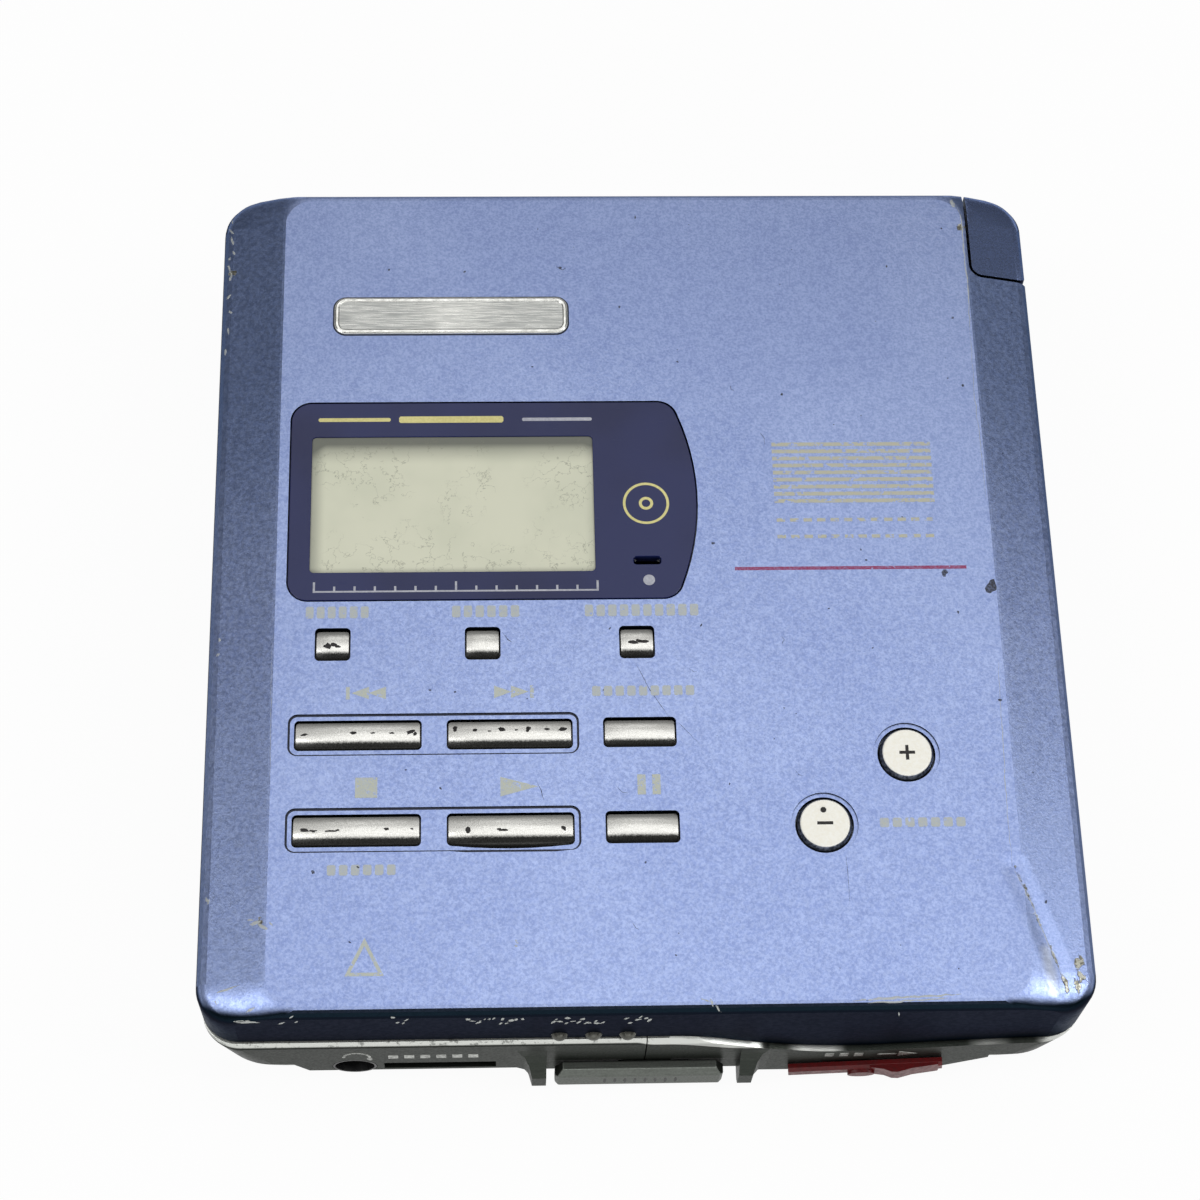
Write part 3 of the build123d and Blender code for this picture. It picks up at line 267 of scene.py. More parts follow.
class Piece:
    """Collects closed shapes into one mesh that rides on a body."""

    def __init__(self, name, material, body, slot):
        self.name, self.material, self.body, self.slot = name, material, body, slot
        self.verts, self.faces = [], []

    def add(self, verts, faces):
        start = len(self.verts)
        self.verts += [Vector(v) for v in verts]
        self.faces += [[start + i for i in face] for face in faces]

    def prism(self, outline, z0, z1):
        """A flat shape from a plan outline in mm, counter-clockwise."""
        n = len(outline)
        verts = [(x * MM, y * MM, z * MM) for z in (z0, z1) for x, y in outline]
        sides = [(i, (i + 1) % n, n + (i + 1) % n, n + i) for i in range(n)]
        self.add(verts, [tuple(range(n))[::-1], tuple(range(n, 2 * n))] + sides)

    def loop(self, rings):
        """A closed band from rings of places in mm; the last ring joins the first."""
        n, faces = len(rings[0]), []
        for k in range(len(rings)):
            here, after = k * n, (k + 1) % len(rings) * n
            faces += [(here + i, here + (i + 1) % n, after + (i + 1) % n, after + i) for i in range(n)]
        self.add([(x * MM, y * MM, z * MM) for ring in rings for x, y, z in ring], faces)

    def print_on(self, outline, z=TOP_Z, lift=LIFT):
        self.prism(outline, z - DEPTH, z + lift)

    def ring(self, x, y, inner, outer):
        """A flat ring on the lid's top."""
        low, high = TOP_Z - DEPTH, TOP_Z + LIFT
        self.loop([[(px, py, level) for px, py in disc(x, y, r, 48)]
                   for r, level in ((inner, low), (outer, low), (outer, high), (inner, high))])

    def blob(self, cast, ring, lift=LIFT):
        """A thin lens over an outline of surface places; its edge lies under the surface."""
        n = len(ring)
        mid = (sum(p[0] for p in ring) / n, sum(p[1] for p in ring) / n)
        inner = [tuple(m + CORE_SHARE * (c - m) for c, m in zip(p, mid)) for p in ring]
        hits = [cast(*p) for p in ring + inner + [mid]]
        if any(hit is None for hit in hits):
            return
        if max((hit[0] - hits[-1][0]).length for hit in hits) > MOST_SPREAD * MM:
            return
        verts = [p - normal * EDGE_SINK * MM for p, normal in hits[:n]]
        verts += [p + normal * lift * MM for p, normal in hits[n:]]
        verts.append(hits[-1][0] - hits[-1][1] * CORE_SINK * MM)
        faces = []
        for i in range(n):
            j = (i + 1) % n
            faces += [(i, j, n + j, n + i), (n + i, n + j, 2 * n), (j, i, 2 * n + 1)]
        # outlines come in either turn, and the faces have to look outward
        area = sum((verts[i].cross(verts[(i + 1) % n]) for i in range(n)), Vector())
        outward = area.dot(hits[-1][1]) > 0
        self.add(verts, faces if outward else [face[::-1] for face in faces])

    def chip(self, cast, x, y, length, width, angle=0.0, rough=0.35, count=11, lift=LIFT):
        """A blob of irregular outline, turned by an angle in degrees."""
        pick = random.Random(f"{self.name}{x:.1f}{y:.1f}0")
        c, s = math.cos(math.radians(angle)), math.sin(math.radians(angle))
        ring = []
        for i in range(count):
            a = -2 * math.pi * i / count
            r = 1 + pick.uniform(-rough, rough)
            p, q = length / 2 * r * math.cos(a), width / 2 * r * math.sin(a)
            ring.append((x + p * c - q * s, y + p * s + q * c))
        self.blob(cast, ring, lift)

    def scratch(self, cast, path, width, wobble=0.0):
        """A thin tapering ridge along surface places; width in mm."""
        pick = random.Random(f"{self.name}{path[0]}")
        places = []
        for (x0, y0), (x1, y1) in zip(path, path[1:]):
            steps = max(2, int(math.hypot(x1 - x0, y1 - y0) / RIDGE_STEP) + 1)
            places += [(x0 + (x1 - x0) * k / steps, y0 + (y1 - y0) * k / steps) for k in range(steps)]
        places.append(path[-1])
        places = [(x + pick.uniform(-wobble, wobble), y + pick.uniform(-wobble, wobble))
                  for x, y in places]
        hits = [hit for hit in (cast(*p) for p in places) if hit is not None]
        if len(hits) < 3:
            return
        verts, last = [], len(hits) - 1
        for k, (p, normal) in enumerate(hits):
            along = (hits[min(k + 1, last)][0] - hits[max(k - 1, 0)][0]).normalized()
            side = normal.cross(along).normalized()
            taper = 0.15 + 0.85 * math.sin(math.pi * k / last) ** 0.6
            half = width / 2 * MM * taper * pick.uniform(0.6, 1.2)
            verts += [p + side * half - normal * RIDGE_SINK * MM, p + normal * RIDGE_LIFT * MM,
                      p - side * half - normal * RIDGE_SINK * MM, p - normal * RIDGE_ROOT * MM]
        faces = [(3, 2, 1, 0), tuple(4 * last + k for k in range(4))]
        for k in range(last):
            faces += [(4 * k + i, 4 * k + (i + 1) % 4, 4 * k + 4 + (i + 1) % 4, 4 * k + 4 + i)
                      for i in range(4)]
        self.add(verts, faces)

    def finish(self):
        mesh = bpy.data.meshes.new(self.name)
        mesh.from_pydata(self.verts, [], self.faces)
        mesh.validate()
        mesh.materials.append(self.material)
        obj = link(self.name, mesh)
        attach(obj, self.body)


# ---- softened edges on the visible parts ------------------------------------------------
KEYS = ("mode_button", "display_button", "search_button", "rewind_button", "forward_button",
        "enter_button", "stop_button", "play_button", "pause_button")
VOLUME_KEYS = ("volume_up_button", "volume_down_button")
EDGE_WIDTHS = (         # how wide the softened edges are, mm
    (0.08, ("lid_shell", "bottom_case", "battery_door")),
    (0.12, ("front_panel_left", "front_panel_right", "open_knob", "rec_slider")),
    (0.06, ("display_bezel", "name_plate") + VOLUME_KEYS),
    (0.14, KEYS),
)
MERGE = 1e-6            # corners nearer than this are one, m
FLAT, SHARP = 0.6, 28.0                 # faces below the one are merged, edges above the other rounded


def soften(name, width):
    """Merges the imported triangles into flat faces, then rounds the sharp edges."""
    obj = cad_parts[name]
    weld = obj.modifiers.new("weld", "WELD")
    weld.merge_threshold = MERGE
    flat = obj.modifiers.new("flat", "DECIMATE")
    flat.decimate_type, flat.angle_limit = "DISSOLVE", math.radians(FLAT)
    edge = obj.modifiers.new("edge", "BEVEL")
    edge.width, edge.segments = width * MM, 2
    edge.limit_method, edge.angle_limit = "ANGLE", math.radians(SHARP)


# ---- the lid's paint --------------------------------------------------------------------
METAL = 0.9             # how metallic the paint is
EDGE_TINT = (0.3, 0.34, 0.42, 1)        # keeps the upright walls dark at a grazing look
CREASE = ((1015, 867), (1068, 990))     # a fold at the front right corner, picture places
SHEEN_LINE = ((1046, 950), (1054, 990))     # the line beside it where a pale highlight is painted, picture places
BARE_SPOTS = (                          # picture place, radius in mm
    (260, 923, 0.45), (1080, 963, 0.6), (1081, 975, 0.7),
    (1079, 986, 0.6), (960, 226, 0.4), (234, 274, 0.35),
)


def flakes(g):
    """The grain of metal flakes, which all the paints share."""
    return g.noise(g.point, 4.2, 3.0, 0.65)


def sound_paint(g, flake):
    """The paint's colour without wear: cloudy and specked, with painted shade and painted light by the
    way that it faces.
    """
    mottle = g.noise(g.point, 1.3, 2.0)
    cloud = g.noise(g.point, 0.045, 2.0)
    tone = g.math("ADD", g.ramp(flake, 0.38, 0.62, 0.0, 0.6), g.ramp(mottle, 0.35, 0.65, 0.0, 0.2),
                  g.ramp(cloud, 0.35, 0.65, 0.0, 0.2))
    color = g.mix(tone, rgb(173, 189, 231), rgb(140, 157, 207))
    # painted shade and painted light: the side bevels go from dark at the back to light at the front
    tilt = g.ramp(g.math("ABSOLUTE", g.axis(g.normal, "X")), 0.1, 0.22)
    front = g.ramp(g.axis(g.point, "Y"), 38.0, -38.0)
    dark = g.math("MULTIPLY", tilt, g.ramp(front, 0.66, 0.0, 0.0, 0.56))
    light = g.math("MULTIPLY", tilt, g.ramp(front, 0.5, 1.0, 0.0, 0.16))
    color = g.mix(dark, color, rgb(92, 112, 152))
    color = g.mix(light, color, rgb(184, 204, 250))
    # small dark specks of dirt, sparse
    near = g.cells(g.point, 0.42)
    lucky = g.axis(g.cells(g.point, 0.42, "Color"), "X")
    size = g.ramp(lucky, 0.7, 1.0, 0.0, 0.055)
    speck = g.math("LESS_THAN", g.math("ADD", near, g.math("MULTIPLY", flake, 0.03)), size)
    color = g.mix(g.math("MULTIPLY", speck, 0.7), color, rgb(52, 60, 88))
    # painted shade: the upright walls and the faces turned to the front are darkened to a deep navy
    upright = g.ramp(g.axis(g.normal, "Z"), 0.86, 0.4)
    forward = g.ramp(g.axis(g.normal, "Y"), -0.1, -0.52)
    return g.mix(g.math("MAXIMUM", upright, forward), color, rgb(15, 27, 36))


def bare_metal(g, skin, crease, warp):
    """The share of bare metal: 1 in the bare spots and along the crease, ragged by warp."""
    bare = 0.0
    for u, v, radius in BARE_SPOTS:
        place = skin.pixel(u, v)[0] / MM
        distance = g.math("ADD", g.vector("DISTANCE", g.point, tuple(place)), warp)
        bare = g.math("MAXIMUM", bare, g.ramp(distance, radius, radius * 0.7))
    ragged = g.math("ADD", crease, g.math("MULTIPLY", warp, 0.35))
    return g.math("MAXIMUM", bare, g.ramp(ragged, 0.16, 0.04))


def lid_paint_group(skin):
    """The lid's paint as a node group, for the lid and for the marks worn through to it."""
    tree = bpy.data.node_groups.new("lid_paint", "ShaderNodeTree")
    for name, kind in (("Color", "NodeSocketColor"), ("Roughness", "NodeSocketFloat"),
                       ("Metallic", "NodeSocketFloat"), ("Height", "NodeSocketFloat")):
        tree.interface.new_socket(name, in_out="OUTPUT", socket_type=kind)
    g = Graph(tree)
    out = tree.nodes.new("NodeGroupOutput")
    flake = flakes(g)
    color = sound_paint(g, flake)
    warp = g.math("MULTIPLY", g.math("SUBTRACT", g.noise(g.point, 1.1, 4.0, 0.6), 0.5), 2.6)
    # the distance to the crease, and to the line where a pale highlight is painted
    crease, rubbed = (g.line_distance(*[skin.pixel(*p)[0] / MM for p in line])
                      for line in (CREASE, SHEEN_LINE))
    # painted highlight: a pale streak beside the crease
    pale = g.ramp(g.math("ADD", rubbed, g.math("MULTIPLY", warp, 0.3)), 0.9, 0.0)
    color = g.mix(g.math("MULTIPLY", pale, 0.45), color, rgb(232, 238, 246))
    bare = bare_metal(g, skin, crease, warp)
    stain = g.ramp(g.noise(g.point, 2.0, 4.0, 0.7), 0.4, 0.6)
    color = g.mix(bare, color, g.mix(stain, rgb(186, 186, 176), rgb(112, 110, 98)))
    dent = g.ramp(crease, 1.6, 0.0)
    height = g.math("SUBTRACT", g.math("MULTIPLY", flake, 0.012), g.math("MULTIPLY", dent, 0.12),
                    g.math("MULTIPLY", bare, 0.03))
    rough = g.ramp(g.noise(g.point, 2.5, 3.0), 0.3, 0.7, 0.34, 0.44)
    for socket, value in zip(out.inputs, (color, rough, METAL, height)):
        g.feed(socket, value)


def paint(g):
    """The lid paint's outputs inside another material."""
    node = g.tree.nodes.new("ShaderNodeGroup")
    node.node_tree = bpy.data.node_groups["lid_paint"]
    return node.outputs


def lid_paint(name):
    """The lid's own material."""
    g = start_material(name)
    base = paint(g)
    return end_material(g, base["Color"], base["Roughness"], METAL, g.bump(base["Height"], 1.0),
                        Specular_Tint=EDGE_TINT)


def worn_over_paint(name, color, cover, scale=2.2, roughness=0.5, metallic=0.2):
    """A mark worn through to the paint: cover is the share of it that is left."""
    g = start_material(name)
    base = paint(g)
    coarse = g.noise(g.point, scale, 4.0, 0.65)
    level = 0.5 + (0.5 - cover) * 0.5
    left = g.ramp(coarse, level - 0.04, level + 0.04)
    fine = g.ramp(g.noise(g.point, 7.0, 2.0), 0.35, 0.65, 0.75, 1.0)
    amount = g.math("MULTIPLY", left, fine)
    mixed = g.mix(amount, base["Color"], color)
    gloss = g.blend(amount, base["Roughness"], roughness)
    shine = g.blend(amount, METAL, metallic)
    return end_material(g, mixed, gloss, shine)


# ---- other materials --------------------------------------------------------------------
SEAM = (                # the panels' upper edge: x from and to, and what is added to its height there, mm
    (2.0, 9.5, 11.3, 9.2), (9.5, 17.0, 0.0, -1.7), (17.0, 28.5, 0.0, 1.1), (28.5, 40.0, 0.0, 1.2),
)
TRIM_HIGHLIGHT = (                # the painted highlight on the trim below it: x from and to, and what is added to its width, mm
    (-1.0, 1.0, 0.62, 1.0), (2.0, 11.0, 0.0, -0.6), (11.0, 24.0, 0.0, -0.45), (34.0, 38.0, 0.0, 0.5),
)


def paint_trim_highlight(g, color, rough):
    """Paints a highlight on the trim under the lid, thinner to the right, with a dark groove below it."""
    x = g.axis(g.point, "X")
    seam, width = (g.math("ADD", *(g.ramp(x, *step) for step in steps)) for steps in (SEAM, TRIM_HIGHLIGHT))
    over = g.math("SUBTRACT", seam, g.axis(g.point, "Z"), width)
    groove = g.math("MULTIPLY", g.ramp(over, 0.5, 0.2), g.ramp(x, 8.0, 16.0, 0.65, 0.1))
    color = g.mix(groove, color, rgb(22, 23, 21))
    wear = g.ramp(g.noise(g.point, 1.4, 5.0, 0.7), 0.53, 0.64, 1.0, 0.4)
    wear = g.math("MAXIMUM", wear, g.ramp(x, -1.0, 1.0))
    # painted highlight on the trim's bevel, broken by wear
    bright = g.math("MULTIPLY", g.ramp(over, 0.08, -0.12), wear)
    return g.mix(bright, color, rgb(212, 214, 209)), g.blend(bright, rough, 0.3)


def panel_metal(name, light, dark, trim_highlight=False):
    """Satin metal, brushed along X."""
    g = start_material(name)
    brush = g.noise(g.vector("MULTIPLY", g.point, (0.25, 6, 6)), 1.6, 4.0, 0.6)
    grain = g.noise(g.point, 5.0, 3.0, 0.6)
    tone = g.math("ADD", g.ramp(brush, 0.3, 0.7, 0.0, 0.5), g.ramp(grain, 0.3, 0.7, 0.0, 0.5))
    color = g.mix(tone, light, dark)
    rough = g.ramp(grain, 0.3, 0.7, 0.3, 0.42)
    # a painted highlight on the trim under the lid
    if trim_highlight:
        color, rough = paint_trim_highlight(g, color, rough)
    return end_material(g, color, rough, 0.9, g.bump(brush, 0.006), Specular_Tint=(0.6, 0.6, 0.6, 1))


def key_metal(name):
    """Plated keys: bright, with a fine worn grain along their length."""
    g = start_material(name)
    brush = g.noise(g.vector("MULTIPLY", g.point, (0.4, 4, 4)), 2.2, 5.0, 0.7)
    grain = g.noise(g.point, 6.0, 4.0, 0.7)
    tone = g.math("ADD", g.ramp(brush, 0.3, 0.7, 0.0, 0.5), g.ramp(grain, 0.35, 0.65, 0.0, 0.5))
    color = g.mix(tone, rgb(255, 254, 249), rgb(226, 225, 219))
    # painted shade: the upper and lower edges are darkened by the way they face
    waver = g.math("MULTIPLY", g.math("SUBTRACT", grain, 0.5), 0.14)
    lower = g.math("ADD", g.axis(g.normal, "Y"), waver)
    facing_shade = g.math("MAXIMUM", g.ramp(lower, -0.2, -0.34), g.ramp(lower, 0.22, 0.42, 0.0, 0.45))
    color = g.mix(facing_shade, color, rgb(48, 48, 46))
    # painted shade on each key's sides, down in the gap round it
    low = g.ramp(g.axis(g.point, "Z"), TOP_Z - 0.45, TOP_Z - 0.8)
    color = g.mix(low, color, rgb(24, 24, 26))
    rough = g.ramp(grain, 0.3, 0.7, 0.2, 0.36)
    return end_material(g, color, rough, 0.4, g.bump(grain, 0.01))


def display_plastic(name):
    """Deep navy gloss plastic, with hair scratches."""
    g = start_material(name)
    cloud = g.noise(g.point, 0.08, 2.0)
    color = g.mix(g.ramp(cloud, 0.35, 0.65), rgb(30, 38, 86), rgb(24, 31, 74))
    lines = g.noise(g.vector("MULTIPLY", g.point, (0.5, 9, 1)), 0.9, 3.0, 0.7)
    hair = g.ramp(lines, 0.66, 0.72)
    fine = g.noise(g.point, 3.0, 5.0, 0.7)
    rough = g.math("ADD", g.ramp(fine, 0.35, 0.7, 0.1, 0.2), g.math("MULTIPLY", hair, 0.25))
    height = g.math("ADD", g.math("MULTIPLY", hair, -0.4), g.math("MULTIPLY", fine, 0.15))
    return end_material(g, color, rough, 0.0, g.bump(height, 0.004), Specular_IOR_Level=0.34)


WINDOW_SHADE = (        # axis, where the shade starts and is full in mm, how dark it is
    ("Y", 12.6, 15.2, 0.62), ("Y", 14.2, 15.4, 0.4), ("X", -29.2, -30.65, 0.5), ("X", -4.9, -3.9, 0.2),
    ("Y", 2.0, 1.35, 0.3),
)


def lcd_glass(name):
    """The display window: a pale grey-green cell under clear plastic, scuffed."""
    g = start_material(name)
    cloud = g.noise(g.point, 0.12, 3.0)
    color = g.mix(g.ramp(cloud, 0.35, 0.65), rgb(216, 217, 195), rgb(208, 210, 188))
    # a soft shade under the plate's edge, deepest at the back and left
    shade = g.math("ADD", *(g.ramp(g.axis(g.point, axis), start, full, 0.0, dark)
                            for axis, start, full, dark in WINDOW_SHADE))
    color = g.mix(g.math("MINIMUM", shade, 0.9), color, rgb(84, 87, 80))
    # hair scratches in a few patches
    streak = g.noise(g.point, 0.55, 4.0, 0.62)
    hair = g.ramp(g.math("ABSOLUTE", g.math("SUBTRACT", streak, 0.5)), 0.011, 0.0)
    zone = g.noise(g.vector("ADD", g.point, (3.0, 8.0, 0.0)), 0.16, 2.0)
    scuff = g.math("MULTIPLY", hair, g.ramp(zone, 0.44, 0.54))
    color = g.mix(g.math("MULTIPLY", scuff, 0.6), color, rgb(122, 123, 110))
    rough = g.math("ADD", 0.28, g.math("MULTIPLY", scuff, 0.3))
    return end_material(g, color, rough, 0.0, g.bump(streak, 0.003))


def ivory_plastic(name):
    """The volume keys: ivory, worn at the rim."""
    g = start_material(name)
    z = g.axis(g.point, "Z")
    grain = g.noise(g.point, 3.5, 4.0, 0.65)
    color = g.mix(g.ramp(grain, 0.3, 0.7), rgb(255, 254, 246), rgb(250, 247, 234))
    # the rim is rubbed down to grey metal
    rim = g.ramp(z, TOP_Z + 0.3, TOP_Z + 0.2)
    rim_color = g.mix(g.ramp(grain, 0.4, 0.6), rgb(120, 126, 138), rgb(58, 64, 76))
    color = g.mix(rim, color, rim_color)
    rough = g.blend(rim, g.ramp(grain, 0.3, 0.7, 0.38, 0.5), 0.3)
    return end_material(g, color, rough, g.math("MULTIPLY", rim, 0.7), g.bump(grain, 0.006))


def door_paint(name):
    """The battery door: a darker, glossier slate than the lid."""
    g = start_material(name)
    flake = flakes(g)
    color = g.mix(g.ramp(flake, 0.3, 0.7), rgb(142, 160, 206), rgb(124, 142, 190))
    # painted shade: the upright walls are darkened by the way they face
    upright = g.ramp(g.axis(g.normal, "Z"), 0.86, 0.4)
    color = g.mix(upright, color, rgb(20, 30, 44))
    scuff = g.ramp(g.noise(g.point, 0.8, 6.0, 0.75), 0.6, 0.68)
    low = g.ramp(g.axis(g.point, "Y"), 37.0, 34.6)
    color = g.mix(g.math("MULTIPLY", scuff, low, 0.8), color, rgb(120, 122, 120))
    rough = g.ramp(flake, 0.3, 0.7, 0.24, 0.34)
    return end_material(g, color, rough, METAL, g.bump(flake, 0.008), Specular_Tint=EDGE_TINT)


def case_paint(name):
    """The lower case: deep navy paint, rubbed at its foot."""
    g = start_material(name)
    flake = flakes(g)
    broad = g.noise(g.point, 0.09, 3.0)
    tone = g.math("ADD", g.ramp(flake, 0.3, 0.7, 0.0, 0.6), g.ramp(broad, 0.35, 0.65, 0.0, 0.4))
    color = g.mix(tone, rgb(62, 76, 116), rgb(46, 58, 94))
    foot = g.ramp(g.axis(g.point, "Z"), 1.3, 0.3)
    rubbed = g.ramp(g.noise(g.point, 0.7, 6.0, 0.72), 0.54, 0.62)
    side = g.ramp(g.axis(g.normal, "Z"), -0.97, -0.8)
    worn = g.math("MULTIPLY", foot, rubbed, side)
    color = g.mix(worn, color, rgb(168, 172, 176))
    rough = g.ramp(flake, 0.3, 0.7, 0.36, 0.46)
    return end_material(g, color, rough, 0.6, g.bump(flake, 0.012))


def circuit_board(name):
    """Green lacquer with lighter tracks."""
    g = start_material(name)
    grid = g.noise(g.vector("MULTIPLY", g.point, (1, 1, 0.1)), 0.9, 0.0)
    track = g.ramp(g.math("ABSOLUTE", g.math("SUBTRACT", grid, 0.5)), 0.02, 0.01)
    color = g.mix(track, rgb(24, 74, 50), rgb(46, 112, 74))
    grain = g.noise(g.point, 3.0, 3.0)
    rough = g.ramp(grain, 0.3, 0.7, 0.3, 0.42)
    return end_material(g, color, rough, 0.0, g.bump(track, 0.02))


def make_materials():
    """One material for each kind of part, and the nodes that wear it."""
    return {
        lid_paint("lid_metallic_blue"): ("lid_shell",),
        door_paint("door_slate"): ("battery_door",),
        case_paint("case_navy"): ("bottom_case",),
        display_plastic("display_navy"): ("display_bezel",),
        lcd_glass("display_window"): ("lcd_window",),
        key_metal("key_plating"): KEYS,
        ivory_plastic("volume_ivory"): VOLUME_KEYS,
        panel_metal("panel_satin", rgb(62, 66, 61), rgb(48, 52, 48), True):
            ("front_panel_left", "front_panel_right"),
        panel_metal("knob_satin", rgb(112, 116, 111), rgb(88, 92, 87)):
            ("open_knob", "hold_switch"),
        grained("plate_brushed", rgb(236, 236, 230), rgb(178, 180, 178), 0.3, 0.9, 2.5, (0.15, 3, 3),
                0.008):
            ("name_plate",),
        grained("record_red", rgb(98, 12, 15), rgb(72, 8, 10), 0.36, 0.0, 2.4, relief=0.012,
                Specular_IOR_Level=0.22):
            ("rec_slider",),
        grained("stud_dark", rgb(92, 92, 86), rgb(64, 64, 60), 0.36, 0.8, 2.0, relief=0.001):
            ("front_studs",),
        grained("socket_black", rgb(26, 26, 28), rgb(16, 16, 18), 0.42, 0.0, 3.0):
            ("headphone_jack", "side_jacks", "power_jack", "battery_case", "pickup_sled"),
        grained("slot_grey", rgb(60, 60, 60), rgb(40, 40, 42), 0.4, 0.3, 3.0):
            ("remote_socket",),
        grained("sheet_steel", rgb(190, 191, 188), rgb(158, 160, 160), 0.3, 0.95, 1.8, (0.2, 3, 3),
                0.006, dirt=0.25):
            ("disc_holder", "mechanism_chassis", "head_arm"),
        grained("spring_steel", rgb(176, 178, 180), rgb(130, 132, 136), 0.28, 1.0, 2.5):
            ("holder_springs", "lid_catches", "latch_slider", "latch_spring", "hinge_brackets",
             "lid_knuckles"),
        grained("ground_steel", rgb(206, 208, 210), rgb(170, 172, 176), 0.16, 1.0, 5.0, (1, 5, 5),
                0.003):
            ("guide_rods", "hinge_pins", "door_pin", "lead_screw", "turntable"),
        grained("motor_can", rgb(150, 152, 156), rgb(110, 112, 118), 0.3, 0.95, 2.0):
            ("sled_motor", "spindle_stator"),
        grained("screw_nickel", rgb(120, 120, 124), rgb(70, 70, 76), 0.3, 0.95, 4.0):
            ("case_screws", "chassis_screws", "key_domes"),
        grained("contact_gold", rgb(214, 178, 96), rgb(184, 146, 70), 0.28, 1.0, 3.0):
            ("battery_terminal", "door_contact"),
        grained("cell_wrap", rgb(88, 92, 98), rgb(70, 74, 82), 0.36, 0.2, 1.6, (0.3, 2, 2)):
            ("battery_cell",),
        grained("rubber", rgb(34, 34, 36), rgb(22, 22, 24), 0.75, 0.0, 4.0, relief=0.03):
            ("rubber_dampers",),
        grained("chip_black", rgb(38, 38, 42), rgb(28, 28, 32), 0.55, 0.0, 5.0, relief=0.02):
            ("board_chips",),
        grained("panel_glass", rgb(150, 154, 140), rgb(130, 134, 122), 0.2, 0.0, 1.0):
            ("lcd_panel",),
        grained("lens_blue", rgb(70, 84, 120), rgb(50, 60, 96), 0.08, 0.0, 1.0, Coat_Weight=0.6):
            ("objective_lens",),
        grained("head_ceramic", rgb(214, 214, 210), rgb(180, 178, 172), 0.35, 0.0, 3.0):
            ("recording_head",),
        circuit_board("board_green"): ("key_board", "main_board"),
    }


def dress_nodes():
    """Gives every CAD node its material."""
    dressed = set()
    for material, nodes in make_materials().items():
        for name in nodes:
            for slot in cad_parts[name].material_slots:
                slot.material = material
            dressed.add(name)
    missing = sorted(set(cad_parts) - dressed)
    if missing:
        raise ValueError(f"no material for {missing}")


# ---- printed marks ----------------------------------------------------------------------
WORD_BARS = (           # worn bars where words would stand: x from and to, y from and to, mm
    (-30.9, -24.8, -3.45, -2.05), (-17.35, -10.8, -3.45, -2.05), (-5.0, 5.9, -3.45, -2.05),
    (-4.5, 5.2, -11.5, -10.3), (-28.5, -22.1, -28.6, -27.4), (21.2, 29.3, -24.6, -23.5),
)
BAR_PITCH, BAR_FILL = 1.1, 0.72         # distance between bars in mm, and the share that is printed


def add_prints():
    """Worn marks on the lid: signs of the keys, plain bars, stripes and a rule."""
    khaki = worn_over_paint("print_khaki", rgb(190, 194, 178), 0.72, 3.2)
    faint = worn_over_paint("print_faint", rgb(184, 189, 184), 0.8, 1.7)
    gold = worn_over_paint("print_gold", rgb(190, 188, 162), 0.66, 1.6)
    red = worn_over_paint("print_red", rgb(148, 52, 92), 0.8, 3.0)
    signs = Piece("key_signs", khaki, "lid", "blue_paint")
    bars = Piece("worn_bars", faint, "lid", "blue_paint")
    for x0, x1, y0, y1 in WORD_BARS:
        count = round((x1 - x0) / BAR_PITCH)
        step = (x1 - x0) / count
        for i in range(count):
            left = x0 + i * step
            bars.print_on(rectangle(left, left + step * BAR_FILL, y0 + 0.1, y1 - 0.1, 0.12))
    # previous and next
    for x0, x1 in ((-23.4, -27.06), (-13.5, -9.85)):
        way = 1 if x1 > x0 else -1
        for k in range(2):
            signs.print_on(triangle(x0 + way * 1.55 * k, x0 + way * (1.55 * k + 1.6), -10.9, 0.62))
        edge = sorted((x1 - way * 0.35, x1))
        signs.print_on(rectangle(*edge, -11.52, -10.28))
    # stop, play and pause
    signs.print_on(rectangle(-26.1, -24.1, -21.15, -19.2))
    signs.print_on(triangle(-13.0, -9.6, -20.2, 0.95))
    signs.print_on(rectangle(-0.6, 0.15, -21.1, -19.15))
    signs.print_on(rectangle(0.75, 1.5, -21.1, -19.15))
    # open triangle near the front
    x0, x1, y0, y1, t = -26.8, -23.35, -37.8, -34.3, 0.32
    mid = (x0 + x1) / 2
    signs.print_on([(x0, y0), (x1, y0), (x1 - 0.5, y0 + t), (x0 + 0.5, y0 + t)])
    signs.print_on([(x1, y0), (mid, y1), (mid, y1 - 0.75), (x1 - 0.5, y0 + t)])
    signs.print_on([(mid, y1), (x0, y0), (x0 + 0.5, y0 + t), (mid, y1 - 0.75)])
    signs.finish()
    bars.finish()
    # plain stripes on the right
    stripes = Piece("lid_stripes", gold, "lid", "blue_paint")
    for y in [8.35 + i * 0.76 for i in range(9)]:
        stripes.print_on(rectangle(13.3, 28.6, y, y + 0.4))
    for x in [13.4 + i * 1.28 for i in range(12)]:
        stripes.print_on(rectangle(x, x + 0.8, 4.6, 4.95))
        stripes.print_on(rectangle(x, x + 0.8, 6.35, 6.7))
    stripes.finish()
    rule = Piece("lid_rule", red, "lid", "blue_paint")
    rule.print_on(rectangle(9.2, 31.1, 1.28, 1.62))
    rule.finish()


